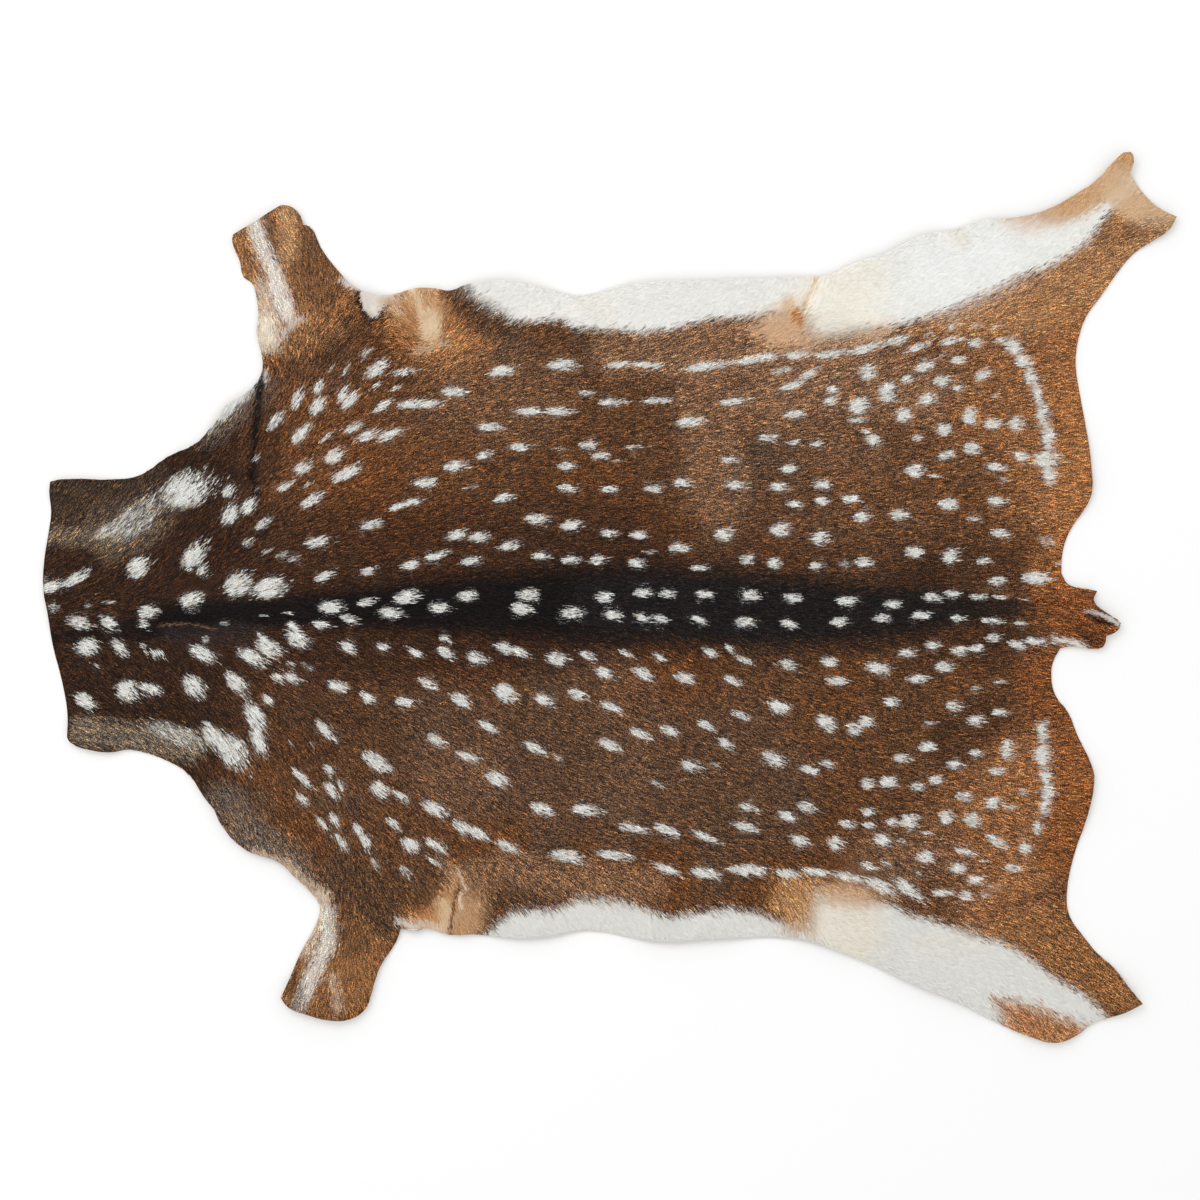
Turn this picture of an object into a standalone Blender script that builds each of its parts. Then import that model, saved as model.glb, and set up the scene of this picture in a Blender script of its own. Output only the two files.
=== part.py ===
"""A deer hide with the hair on, laid flat with the hair side up.

The hide is one skin, so it is one solid: a thin slab with the outline of the
cut skin, neck at -X and tail at +X, belly edges at +Y and -Y. Its middle rests
on the surface, and its edges, leg skins and tail rise from it in soft folds.
"""

import math

import bmesh
import bpy

# Driving sizes, in metres.
HIDE_LENGTH = 1.130
PELT_THICKNESS = 0.004
GRID_STEP = 0.019
CURVE_STEPS = 3

# The outline and the folds are read right and down from one corner, in steps
# of which the length of the hide takes READING_SPAN.
READING_SPAN = 1131.0
MIDDLE_RIGHT = 609.6
MIDDLE_DOWN = 597.5
STEP = HIDE_LENGTH / READING_SPAN

SNAP = 0.004
WELD = 0.00001
FLAT_ANGLE = math.radians(0.02)

COAT_BROWN = (0.105, 0.046, 0.022, 1.0)
COAT_ROUGHNESS = 0.75

# The cut edge, clockwise from the front corner of the neck.
# Columns: right, down, and 1 where the edge turns a sharp corner.
NECK_TOP = [
    (51, 482, 1), (62, 479.5, 0), (124, 479, 0), (142, 474.5, 0), (168, 457, 0),
    (199, 442, 0), (217, 418, 0), (226, 406, 0), (250, 391, 0), (261, 376, 0),
]
UPPER_FORELEG = [
    (263, 361, 0), (257, 332, 0), (258.5, 318, 0), (257, 298, 0), (252, 283, 0),
    (244, 277.5, 0), (240, 260, 0), (233, 243, 0), (234, 235, 1), (258, 221, 0),
    (275, 210, 0), (284, 206, 0), (298, 212, 0), (304, 225, 1), (311, 228, 0),
    (321, 248, 0), (341, 274, 0), (353, 286, 0), (372, 294.5, 0), (391, 295, 0),
]
UPPER_BELLY = [
    (416, 288.5, 0), (436, 289, 0), (450, 291, 0), (468, 284.5, 0), (505, 280.5, 0),
    (533, 286, 0), (562, 293, 0), (583, 296, 0), (608, 289, 0), (637, 283.5, 0),
    (716, 280, 0), (797, 276.5, 0), (829, 275.5, 0),
]
UPPER_HIND_LEG = [
    (849, 265.5, 0), (865, 260, 0), (884, 254.5, 0), (920, 236, 0), (956, 229.5, 0),
    (985, 220, 0), (1004, 219, 0), (1026, 216, 0), (1049, 209, 0), (1080, 191.5, 0),
    (1098, 179, 0), (1111, 164, 0), (1128.5, 153, 0), (1132.5, 161, 0), (1129, 174, 1),
    (1140, 190, 0), (1158, 208.5, 0), (1175.5, 217.5, 1), (1168.5, 230, 0),
    (1149, 243, 0), (1132, 255, 0), (1120, 269, 0), (1099, 298.5, 0), (1086.5, 315.5, 0),
]
UPPER_RUMP = [
    (1080, 332, 0), (1076, 351, 0), (1075.5, 368, 0), (1079, 391, 0), (1086.5, 433, 0),
    (1091, 471, 0), (1091.5, 491, 0), (1086, 506, 0), (1070.5, 529, 0), (1062.5, 551, 0),
]
TAIL = [
    (1061, 573, 1), (1068, 584.5, 0), (1086, 589, 0), (1096.5, 591, 1), (1093, 601, 0),
    (1107.5, 614, 0), (1119, 623.5, 0), (1117, 630, 0), (1105, 636, 1), (1103, 646, 0),
    (1095, 649, 0), (1074, 646, 0), (1060, 648, 1),
]
LOWER_RUMP = [
    (1052.5, 663, 0), (1051, 675, 0), (1055, 695, 0), (1068, 712.5, 0), (1077, 735, 0),
    (1092, 768, 0), (1093.5, 781, 0), (1087, 815, 0), (1073, 857.5, 0), (1066.5, 894, 0),
]
LOWER_HIND_LEG = [
    (1069, 915, 0), (1083, 936, 0), (1097, 953, 0), (1113, 967, 0), (1128, 987, 0),
    (1141.5, 1003, 1), (1122, 1013, 0), (1094, 1022.5, 0), (1074, 1036, 0),
    (1055, 1042, 0), (1032, 1037, 0), (990, 1019, 0), (968, 1006, 0), (914, 984, 0),
    (858, 958.5, 0),
]
LOWER_BELLY = [
    (813, 942, 0), (791, 938.5, 0), (738, 938, 0), (704, 939, 0), (670, 941.5, 0),
    (647, 940, 0), (587, 930.5, 0), (543, 937, 0), (509, 937.5, 0), (474, 934, 0),
    (450, 934.5, 0),
]
LOWER_FORELEG = [
    (427, 928, 0), (416, 930.5, 0), (401, 928, 1), (396, 942, 0), (380.5, 966, 0),
    (373, 988, 0), (366, 1008, 0), (352, 1018, 0), (330, 1019.5, 0), (308, 1014, 0),
    (289, 1006.5, 0), (281.5, 997, 1), (290, 978, 0), (301, 952, 0), (317, 922, 0),
    (320, 907, 0), (313, 894, 0), (297, 878, 0), (278, 861, 0),
]
NECK_BOTTOM = [
    (262, 855.5, 0), (247, 850, 0), (222, 824.5, 0), (215, 809.5, 1), (204, 796, 0),
    (189, 774, 0), (169, 761.5, 0), (143, 752, 0), (127, 749.5, 0), (113, 752, 0),
    (92, 750, 0), (71, 742, 0),
]
NECK_EDGE = [
    (68, 737, 1), (68, 715, 0), (62, 680, 0), (53, 645, 0), (48, 612, 0), (44, 590, 0),
    (45, 560, 0), (49, 532, 0), (51.5, 512, 0), (50, 492, 0),
]
OUTLINE = (
    NECK_TOP + UPPER_FORELEG + UPPER_BELLY + UPPER_HIND_LEG + UPPER_RUMP + TAIL
    + LOWER_RUMP + LOWER_HIND_LEG + LOWER_BELLY + LOWER_FORELEG + NECK_BOTTOM + NECK_EDGE
)

# Folds where the skin leaves the surface.
# Columns: name, start right and down, end right and down, half width, height in millimetres.
SKIN_FOLDS = [
    ("neck roll", 176, 452, 250, 392, 26, 7.0),
    ("neck front edge", 47, 560, 49, 610, 34, 4.0),
    ("neck upper corner", 52, 484, 100, 480, 26, 5.0),
    ("neck lower corner", 70, 736, 108, 752, 28, 6.0),
    ("neck lower wave", 196, 788, 214, 806, 26, 5.0),
    ("throat roll", 232, 822, 300, 884, 26, 7.0),
    ("shoulder fold", 268, 384, 262, 462, 17, 4.5),
    ("foreleg tip", 246, 234, 284, 214, 34, 8.0),
    ("foreleg outer edge", 244, 300, 258, 352, 24, 5.0),
    ("armpit flap", 352, 286, 377, 308, 19, 8.0),
    ("elbow ridge", 431, 288, 436, 344, 22, 6.5),
    ("elbow crease", 461, 288, 466, 312, 18, 4.0),
    ("first belly wave", 500, 278, 528, 281, 46, 8.0),
    ("second belly wave", 648, 277, 742, 275, 44, 6.5),
    ("groin ridge in front", 786, 276, 788, 312, 21, 5.0),
    ("groin ridge behind", 830, 274, 812, 330, 22, 6.0),
    ("flank wave", 872, 258, 922, 238, 42, 6.0),
    ("thigh edge", 992, 218, 1062, 200, 36, 6.0),
    ("hind leg tip", 1108, 172, 1128, 158, 30, 9.0),
    ("hock corner", 1160, 222, 1174, 217, 30, 7.0),
    ("upper rump edge", 1091, 452, 1092, 500, 30, 5.0),
    ("lower rump edge", 1093, 772, 1086, 812, 30, 5.0),
    ("thigh crease", 978, 898, 1042, 872, 20, 4.5),
    ("lower hock corner", 1120, 992, 1140, 1003, 34, 8.0),
    ("lower hind leg edge", 1034, 1040, 1062, 1040, 34, 7.0),
    ("lower thigh edge", 900, 980, 962, 1004, 36, 6.0),
    ("lower flank wave", 812, 942, 846, 954, 32, 5.5),
    ("lower groin ridge", 846, 902, 884, 934, 20, 4.5),
    ("third belly wave", 664, 942, 716, 940, 44, 6.5),
    ("fourth belly wave", 520, 938, 548, 938, 42, 6.0),
    ("lower elbow ridge", 461, 876, 457, 934, 20, 7.0),
    ("lower elbow crease", 430, 905, 422, 930, 20, 5.0),
    ("lower foreleg curl", 402, 922, 410, 930, 17, 6.0),
    ("lower foreleg tip", 292, 1002, 346, 1016, 34, 8.0),
    ("lower foreleg edge", 380, 966, 372, 990, 24, 5.0),
]

# Places where only the coat stands higher or lower, on skin that stays down.
COAT_FOLDS = [
    ("tail", 1072, 617, 1104, 624, 36, 8.0),
    ("neck slit", 166, 624, 204, 624, 12, -2.0),
    ("shoulder groove", 254, 400, 252, 474, 12, -1.8),
    ("back ridge", 300, 614, 1010, 606, 30, 1.2),
]


def place(right, down):
    """Turn a reading into a place on the surface, in metres."""
    return (right - MIDDLE_RIGHT) * STEP, (MIDDLE_DOWN - down) * STEP


def distance_to_line(x, y, start, end):
    """Distance from a point to a short straight line."""
    along_x = end[0] - start[0]
    along_y = end[1] - start[1]
    length_squared = along_x * along_x + along_y * along_y
    share = ((x - start[0]) * along_x + (y - start[1]) * along_y) / length_squared
    share = min(1.0, max(0.0, share))
    return math.hypot(x - start[0] - share * along_x, y - start[1] - share * along_y)


def lift(x, y, folds):
    """Height that the folds add at a point: a smooth hump over each fold's line."""
    total = 0.0
    for _name, right_a, down_a, right_b, down_b, half_width, height in folds:
        away = distance_to_line(x, y, place(right_a, down_a), place(right_b, down_b))
        share = away / (half_width * STEP)
        if share < 1.0:
            total += height * STEP * math.cos(share * math.pi / 2) ** 2
    return total


def outline_curve(name):
    """The cut edge as a closed flat curve, filled and given the pelt's thickness."""
    curve = bpy.data.curves.new(name, "CURVE")
    curve.dimensions = "2D"
    curve.fill_mode = "BOTH"
    curve.extrude = PELT_THICKNESS / 2
    curve.resolution_u = CURVE_STEPS
    spline = curve.splines.new("BEZIER")
    spline.bezier_points.add(len(OUTLINE) - 1)
    spline.use_cyclic_u = True
    for point, (right, down, corner) in zip(spline.bezier_points, OUTLINE):
        x, y = place(right, down)
        point.co = (x, y, 0.0)
        handle = "VECTOR" if corner else "AUTO"
        point.handle_left_type = handle
        point.handle_right_type = handle
    return bpy.data.objects.new(name, curve)


def curve_to_mesh(curve_object, collection):
    """Replace a curve object by a mesh object with its end faces welded on."""
    name = curve_object.name
    collection.objects.link(curve_object)
    view = bpy.context.evaluated_depsgraph_get()
    mesh = bpy.data.meshes.new_from_object(curve_object.evaluated_get(view))
    bm = bmesh.new()
    bm.from_mesh(mesh)
    bmesh.ops.remove_doubles(bm, verts=bm.verts, dist=WELD)
    bmesh.ops.dissolve_limit(bm, angle_limit=FLAT_ANGLE, verts=bm.verts, edges=bm.edges)
    bmesh.ops.recalc_face_normals(bm, faces=bm.faces)
    bm.to_mesh(mesh)
    bm.free()
    bpy.data.objects.remove(curve_object)
    mesh.name = name
    result = bpy.data.objects.new(name, mesh)
    collection.objects.link(result)
    return result


def cut_along(bm, axis, low, high):
    """Cut the slab by evenly spaced planes across one axis."""
    count = int((high - low) / GRID_STEP)
    for index in range(1, count + 1):
        point = [0.0, 0.0, 0.0]
        normal = [0.0, 0.0, 0.0]
        point[axis] = low + index * GRID_STEP
        normal[axis] = 1.0
        geometry = bm.verts[:] + bm.edges[:] + bm.faces[:]
        bmesh.ops.bisect_plane(bm, geom=geometry, dist=SNAP, plane_co=point, plane_no=normal)


def raise_folds(bm):
    """Move the underside with the skin folds, and the top with all of them."""
    for vertex in bm.verts:
        x, y, z = vertex.co
        skin = lift(x, y, SKIN_FOLDS)
        if z < 0.0:
            vertex.co.z = skin
        else:
            vertex.co.z = PELT_THICKNESS + skin + lift(x, y, COAT_FOLDS)


def shape_hide(hide):
    """Give the flat slab its folds."""
    bm = bmesh.new()
    bm.from_mesh(hide.data)
    for axis in (0, 1):
        values = [vertex.co[axis] for vertex in bm.verts]
        cut_along(bm, axis, min(values), max(values))
    bmesh.ops.triangulate(bm, faces=bm.faces)
    raise_folds(bm)
    bmesh.ops.recalc_face_normals(bm, faces=bm.faces)
    bm.to_mesh(hide.data)
    bm.free()


def coat_material():
    """Brown hair, as one plain finish."""
    material = bpy.data.materials.new("brown_coat")
    material.use_nodes = True
    shader = material.node_tree.nodes["Principled BSDF"]
    shader.inputs["Base Color"].default_value = COAT_BROWN
    shader.inputs["Roughness"].default_value = COAT_ROUGHNESS
    shader.inputs["Metallic"].default_value = 0.0
    return material


def build():
    """Make the hide in an empty scene."""
    for item in list(bpy.data.objects):
        bpy.data.objects.remove(item)
    collection = bpy.data.collections.new("deer_hide")
    bpy.context.scene.collection.children.link(collection)
    hide = curve_to_mesh(outline_curve("hide"), collection)
    shape_hide(hide)
    hide.data.materials.append(coat_material())


build()
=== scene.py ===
# %% [markdown]
# # A deer hide with the hair on
#
# The hide lies flat with its hair side up. Under the hair is one tanned skin, cut
# clean round the neck, the belly edges and the four leg skins. The hair is short,
# lies down from neck to tail, and carries all the colour: speckled brown, a black
# line down the back, pale spots in rows, and white belly edges.
#
# This lesson builds it in the order that a maker would meet it: the cut edge and
# the folds, the way the hair lies, the colours, the skin, the hair itself, and then
# the finishes.

# %% Load the measured model
import math

import bmesh
import bpy
import numpy as np
from mathutils.bvhtree import BVHTree
from mathutils.geometry import delaunay_2d_cdt
from mathutils.kdtree import KDTree
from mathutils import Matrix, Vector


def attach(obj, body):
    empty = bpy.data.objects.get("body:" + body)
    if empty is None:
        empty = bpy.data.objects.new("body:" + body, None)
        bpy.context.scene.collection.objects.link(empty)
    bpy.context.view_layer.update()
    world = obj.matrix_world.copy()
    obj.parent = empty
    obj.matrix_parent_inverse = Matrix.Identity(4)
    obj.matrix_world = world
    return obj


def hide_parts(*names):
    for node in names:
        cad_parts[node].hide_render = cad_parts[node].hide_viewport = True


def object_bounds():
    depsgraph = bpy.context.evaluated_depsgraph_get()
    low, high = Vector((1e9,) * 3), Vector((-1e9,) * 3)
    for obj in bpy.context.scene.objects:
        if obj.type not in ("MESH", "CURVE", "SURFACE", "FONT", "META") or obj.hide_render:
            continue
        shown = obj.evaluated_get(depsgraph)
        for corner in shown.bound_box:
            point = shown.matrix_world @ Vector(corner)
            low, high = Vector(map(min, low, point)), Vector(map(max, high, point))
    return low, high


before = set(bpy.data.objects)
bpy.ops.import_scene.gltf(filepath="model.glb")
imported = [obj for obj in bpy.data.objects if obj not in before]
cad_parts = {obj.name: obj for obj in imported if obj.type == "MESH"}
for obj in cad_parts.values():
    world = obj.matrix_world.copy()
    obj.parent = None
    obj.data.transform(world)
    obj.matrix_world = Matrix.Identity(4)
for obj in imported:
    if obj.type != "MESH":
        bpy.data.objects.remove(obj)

cad_low, cad_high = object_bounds()
print("measured box:", [round(value, 4) for value in (*cad_low, *cad_high)])

# %% [markdown]
# The hide was read like a map: right and down from one corner, in steps of about
# a millimetre. All tables below use those readings, and `place` turns them into
# metres in the frame of the measured model.

# %% The map of the hide
HIDE_LENGTH = 1.130
READING_SPAN = 1131.0
MIDDLE_RIGHT = 609.6
MIDDLE_DOWN = 597.5
STEP = HIDE_LENGTH / READING_SPAN
MILLIMETRE = 0.001
TINY = 1e-12


def place(points):
    """Readings, one row each, as metres across the surface."""
    right, down = np.asarray(points, dtype=float).T
    return np.stack([(right - MIDDLE_RIGHT) * STEP, (MIDDLE_DOWN - down) * STEP], axis=1)


def reading(xy):
    """Metres across the surface as readings."""
    return np.stack([xy[:, 0] / STEP + MIDDLE_RIGHT, MIDDLE_DOWN - xy[:, 1] / STEP], axis=1)


def smooth_step(low, high, value):
    """0 below low, 1 above high, and a smooth rise between them."""
    share = np.clip((value - low) / (high - low), 0.0, 1.0)
    return share * share * (3.0 - 2.0 * share)


def distance_to_path(points, path):
    """Distance from each point to a path of straight pieces, and how far along it that is."""
    nearest = np.full(len(points), np.inf)
    along = np.zeros(len(points))
    path = np.asarray(path, dtype=float)
    for index in range(len(path) - 1):
        start, step = path[index], path[index + 1] - path[index]
        share = np.clip((points - start) @ step / max(step @ step, TINY), 0.0, 1.0)
        away = np.linalg.norm(points - start - share[:, None] * step, axis=1)
        closer = away < nearest
        nearest = np.where(closer, away, nearest)
        along = np.where(closer, index + share, along)
    return nearest, along / (len(path) - 1)


# %% [markdown]
# The cut edge comes from the measured model: the rim of its upper surface. A map of
# signed distance to that rim is made once. It says how far inside the edge any place
# is, which trims the skin and the hair.

# %% The cut edge
hide_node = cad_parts["hide"]
MAP_STEP = 0.002
MAP_BORDER = 0.03
UPWARD = 0.5
MERGE = 0.00002
SAMPLE_STEP = 0.0005
LAST_CELL = 1.001

top = bmesh.new()
top.from_mesh(hide_node.data)
bmesh.ops.remove_doubles(top, verts=top.verts, dist=MERGE)
top.normal_update()
walls = [face for face in top.faces if face.normal.z < UPWARD]
bmesh.ops.delete(top, geom=walls, context="FACES")
surface = BVHTree.FromBMesh(top)
rim_edges = [[tuple(vert.co.xy) for vert in edge.verts] for edge in top.edges if edge.is_boundary]
rim_edges = np.array(rim_edges)
top.free()
rim_length = np.linalg.norm(rim_edges[:, 0] - rim_edges[:, 1], axis=1).sum()
print("cut edge:", len(rim_edges), "pieces,", round(rim_length, 3), "m")

map_x = np.arange(cad_low[0] - MAP_BORDER, cad_high[0] + MAP_BORDER, MAP_STEP)
map_y = np.arange(cad_low[1] - MAP_BORDER, cad_high[1] + MAP_BORDER, MAP_STEP)


def inside_row(y):
    """Which places on one row of the map lie inside the cut edge."""
    low, high = np.minimum(*rim_edges[:, :, 1].T), np.maximum(*rim_edges[:, :, 1].T)
    crossing = rim_edges[(low <= y) & (high > y)]
    share = (y - crossing[:, 0, 1]) / (crossing[:, 1, 1] - crossing[:, 0, 1])
    crossings = np.sort(crossing[:, 0, 0] + share * (crossing[:, 1, 0] - crossing[:, 0, 0]))
    return np.searchsorted(crossings, map_x) % 2 == 1


def rim_samples():
    """Places every half millimetre along the cut edge."""
    samples = []
    for start, end in rim_edges:
        count = max(1, int(np.linalg.norm(end - start) / SAMPLE_STEP))
        shares = (np.arange(count) / count)[:, None]
        samples.append(start + shares * (end - start))
    return np.concatenate(samples)


def depth_map():
    """Distance inside the cut edge over the map, below 0 outside."""
    samples = rim_samples()
    tree = KDTree(len(samples))
    for index, (x, y) in enumerate(samples):
        tree.insert((x, y, 0.0), index)
    tree.balance()
    depth = np.array([[tree.find((x, y, 0.0))[2] for x in map_x] for y in map_y])
    inside = np.array([inside_row(y) for y in map_y])
    return np.where(inside, depth, -depth)


def read_map(values, xy):
    """Value of a map at each place, blended from its four neighbours."""
    column = np.clip((xy[:, 0] - map_x[0]) / MAP_STEP, 0, len(map_x) - LAST_CELL)
    row = np.clip((xy[:, 1] - map_y[0]) / MAP_STEP, 0, len(map_y) - LAST_CELL)
    i, j = row.astype(int), column.astype(int)
    down, right = row - i, column - j
    upper = values[i, j] * (1 - right) + values[i, j + 1] * right
    lower = values[i + 1, j] * (1 - right) + values[i + 1, j + 1] * right
    return upper * (1 - down) + lower * down


edge_depth = depth_map()
print("area inside the cut edge:", round((edge_depth > 0).sum() * MAP_STEP ** 2, 4), "m2")

# %% [markdown]
# The surface follows the measured folds, smoothed so that no facet shows, and then
# takes the small creases that a flat photograph shows only as dark and pale lines:
# the slit on the neck, the crease before the upper shoulder, and the puckers at the
# elbows and the groin. Each is a soft trough or ridge along a short path.

# %% The height of the coat
SMOOTH_SIZE = 0.009
RIM_SLACK = 0.0005
ABOVE_ALL = 0.1
LEAST_SHARE = 1e-6
LEAST_HEIGHT = 0.002

# Columns: name, half width and height in millimetres, path.
CREASES = [
    ("shoulder crease", 6, -1.3, [(262, 378), (259, 404), (255, 440), (252, 474), (256, 494)]),
    ("shoulder lip", 8, 1.0, [(270, 380), (267, 410), (264, 445)]),
    ("neck slit", 6, -1.2, [(163, 624), (182, 621), (206, 625)]),
    ("neck slit lip", 7, 1.0, [(170, 633), (204, 635), (238, 632)]),
    ("flap", 10, 2.2, [(370, 296), (378, 306), (377, 310)]),
    ("flap groove", 5, -1.4, [(357, 292), (360, 307), (367, 320), (378, 322)]),
    ("armpit ridge", 8, 1.6, [(420, 294), (424, 314), (430, 336)]),
    ("armpit dip", 8, -1.0, [(408, 294), (413, 315)]),
    ("elbow dip", 9, -1.2, [(448, 294), (452, 318), (450, 338)]),
    ("belly trough", 12, -1.4, [(586, 298), (600, 312)]),
    ("groin line", 6, -1.3, [(799, 321), (804, 306), (812, 289), (820, 277)]),
    ("groin line lip", 8, 1.1, [(808, 324), (815, 305), (824, 289)]),
    ("thigh trough", 9, -1.3, [(956, 231), (960, 240), (970, 248)]),
    ("lower elbow line", 5, -1.3, [(454, 896), (452, 914), (450, 934)]),
    ("lower elbow ridge", 6, 1.6, [(461, 876), (466, 889), (462, 900), (460, 914), (463, 930)]),
    ("lower elbow dip", 6, -1.0, [(471, 902), (470, 926)]),
    ("lower thigh crease", 7, -1.2, [(985, 916), (1012, 906), (1046, 894)]),
    ("lower flank crease", 6, -1.0, [(918, 943), (948, 946), (968, 940)]),
    ("tail lip", 5, 1.6, [(1086, 611), (1102, 616), (1117, 625)]),
    ("tail hollow", 5, -1.8, [(1088, 618), (1098, 622), (1108, 626)]),
    ("tail lower roll", 8, 1.6, [(1084, 634), (1100, 641)]),
]


def blur(values, size):
    """A map smoothed over a distance, one direction and then the other."""
    reach = int(3 * size / MAP_STEP)
    offsets = np.arange(-reach, reach + 1) * MAP_STEP
    weights = np.exp(-0.5 * (offsets / size) ** 2)
    weights /= weights.sum()
    for axis in (0, 1):
        values = np.apply_along_axis(np.convolve, axis, values, weights, "same")
    return values


def height_map():
    """Height of the coat over the map: the measured folds, and then the small creases."""
    inside = (edge_depth > -RIM_SLACK).astype(float)
    heights = np.zeros_like(edge_depth)
    high = cad_high[2] + ABOVE_ALL
    for row, column in np.argwhere(inside > 0):
        hit = surface.ray_cast((map_x[column], map_y[row], high), (0, 0, -1))[0]
        if hit is None:
            inside[row, column] = 0.0
        else:
            heights[row, column] = hit.z
    shares = np.maximum(blur(inside, SMOOTH_SIZE), LEAST_SHARE)
    heights = blur(heights * inside, SMOOTH_SIZE) / shares
    grid = np.stack(np.meshgrid(map_x, map_y), axis=-1).reshape(-1, 2)
    for _name, half_width, height, path in CREASES:
        near = distance_to_path(grid, place(path))[0] / (half_width * STEP)
        bump = np.where(near < 1.0, np.cos(np.minimum(near, 1.0) * math.pi / 2) ** 2, 0.0)
        heights += (bump * height * MILLIMETRE).reshape(heights.shape)
    return np.maximum(heights, LEAST_HEIGHT)


coat_height = height_map()
lowest, highest = coat_height.min() / MILLIMETRE, coat_height.max() / MILLIMETRE
print("coat height, mm:", round(lowest, 2), "to", round(highest, 2))

# %% [markdown]
# Hair lies one way, as if combed: back from the neck, down the legs, and fanned out
# from the back line to the belly. A chart of comb strokes gives the turn at a few
# places, and every hair takes a blend of the strokes near it.

# %% The comb chart
# Columns: right, down, and the turn in degrees: 0 towards the tail, above 0 towards
# the upper edge.
COMB = [
    (60, 500, 48), (60, 540, 40), (60, 580, 25), (55, 612, 0), (62, 650, -20), (75, 690, -30),
    (82, 735, -20), (110, 495, 48), (110, 540, 45), (110, 580, 35), (110, 612, 8),
    (110, 640, -30), (110, 680, -35), (115, 735, -25), (160, 470, 50), (165, 520, 50),
    (160, 570, 45), (160, 605, 22), (160, 624, 0), (160, 652, -55), (160, 690, -35),
    (160, 740, -35), (210, 440, 52), (210, 480, 52), (210, 540, 50), (210, 590, 38),
    (210, 615, 8), (210, 650, -35), (210, 690, -48), (215, 735, -52), (215, 785, -55),
    (245, 405, 60), (250, 430, 55), (255, 490, 45), (255, 550, 35), (255, 590, 22),
    (255, 620, 0), (255, 655, -28), (255, 700, -45), (255, 750, -60), (250, 810, -60),
    (262, 845, -62), (300, 400, 62), (300, 440, 46), (300, 490, 32), (300, 540, 20),
    (300, 580, 14), (300, 612, 0), (300, 645, -24), (300, 690, -28), (300, 740, -52),
    (300, 790, -45), (300, 840, -58), (345, 380, 52), (345, 430, 30), (345, 480, 28),
    (345, 530, 16), (345, 580, 11), (345, 611, 0), (345, 645, -26), (345, 690, -25),
    (345, 740, -42), (345, 800, -58), (345, 850, -64), (390, 370, 32), (390, 420, 18),
    (390, 500, 15), (390, 560, 10), (390, 604, 3), (390, 650, -22), (390, 700, -22),
    (390, 760, -34), (390, 810, -38), (390, 860, -52), (335, 330, 50), (300, 350, 80),
    (270, 350, 96), (265, 300, 112), (300, 300, 112), (255, 245, 118), (290, 230, 118),
    (325, 285, 90), (350, 300, 45), (375, 320, 48), (395, 310, -58), (410, 335, -30),
    (424, 300, -84), (432, 325, 84), (432, 352, 28), (452, 300, 60), (455, 345, 30),
    (475, 310, 40), (340, 900, -80), (350, 940, -104), (325, 960, -112), (312, 1000, -112),
    (345, 1000, -78), (370, 960, -74), (375, 910, -62), (290, 870, -60), (395, 925, -50),
    (425, 870, -42), (430, 905, -58), (452, 915, -84), (475, 890, -52), (480, 925, -40),
    (470, 380, 13), (470, 430, 10), (470, 500, 12), (470, 560, 12), (470, 600, 0),
    (470, 650, -20), (470, 720, -26), (470, 780, -32), (470, 840, -40), (500, 295, 32),
    (505, 320, 36), (560, 300, 16), (560, 330, 26), (560, 370, 6), (560, 430, 5), (560, 500, 6),
    (560, 560, 7), (560, 604, 0), (560, 650, -22), (560, 720, -24), (560, 790, -18),
    (560, 850, -12), (560, 890, -40), (560, 920, -54), (650, 300, 12), (650, 326, 40),
    (650, 350, 20), (650, 390, 5), (650, 470, 3), (650, 550, 3), (650, 605, -4),
    (650, 650, -26), (650, 720, -26), (650, 790, -20), (650, 850, -12), (650, 890, -36),
    (650, 920, -52), (740, 300, 24), (740, 320, 36), (740, 345, 16), (740, 390, 8),
    (740, 470, 3), (740, 550, 2), (740, 607, -3), (740, 650, -28), (740, 720, -26),
    (740, 790, -22), (740, 850, -12), (740, 885, -24), (740, 915, -50), (790, 300, 40),
    (800, 335, 24), (815, 290, 64), (830, 320, 12), (830, 380, 15), (830, 450, 8),
    (830, 520, 5), (830, 570, 3), (830, 607, 0), (830, 650, -14), (830, 720, -20),
    (830, 780, -18), (830, 840, -22), (830, 872, -24), (795, 905, -54), (800, 930, -78),
    (850, 905, -28), (850, 935, -18), (880, 290, 18), (880, 330, 24), (850, 270, 8),
    (920, 260, 26), (930, 300, 24), (960, 240, 26), (1000, 225, 32), (1000, 280, 30),
    (1040, 230, 31), (1060, 250, 33), (1090, 200, 38), (1120, 170, 52), (1110, 230, 36),
    (1150, 218, 14), (1130, 250, 20), (1080, 290, 12), (1050, 330, 8), (920, 360, 20),
    (920, 420, 8), (920, 480, 4), (920, 540, 2), (920, 600, 0), (920, 640, -5), (920, 690, -7),
    (920, 750, -5), (920, 810, -8), (920, 870, -16), (905, 895, -30), (1000, 360, 12),
    (1000, 430, 3), (1000, 520, 0), (1000, 600, 0), (1000, 680, -2), (1000, 760, -2),
    (1000, 830, -16), (1000, 880, -12), (1060, 380, 4), (1070, 450, 0), (1050, 520, 0),
    (1050, 585, 0), (1050, 640, -10), (1050, 700, 0), (1070, 780, 0), (1060, 850, -16),
    (1050, 900, -20), (1000, 920, -20), (1060, 940, -34), (1100, 970, -38), (1125, 1000, -34),
    (1040, 980, -34), (980, 950, -28), (920, 930, -26), (920, 965, -28), (980, 1000, -44),
    (1050, 1020, -44), (880, 950, -26), (1080, 597, -6), (1080, 620, -24), (1104, 625, -30),
    (1088, 642, -14),
]
STROKE_REACH = 14.0


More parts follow.
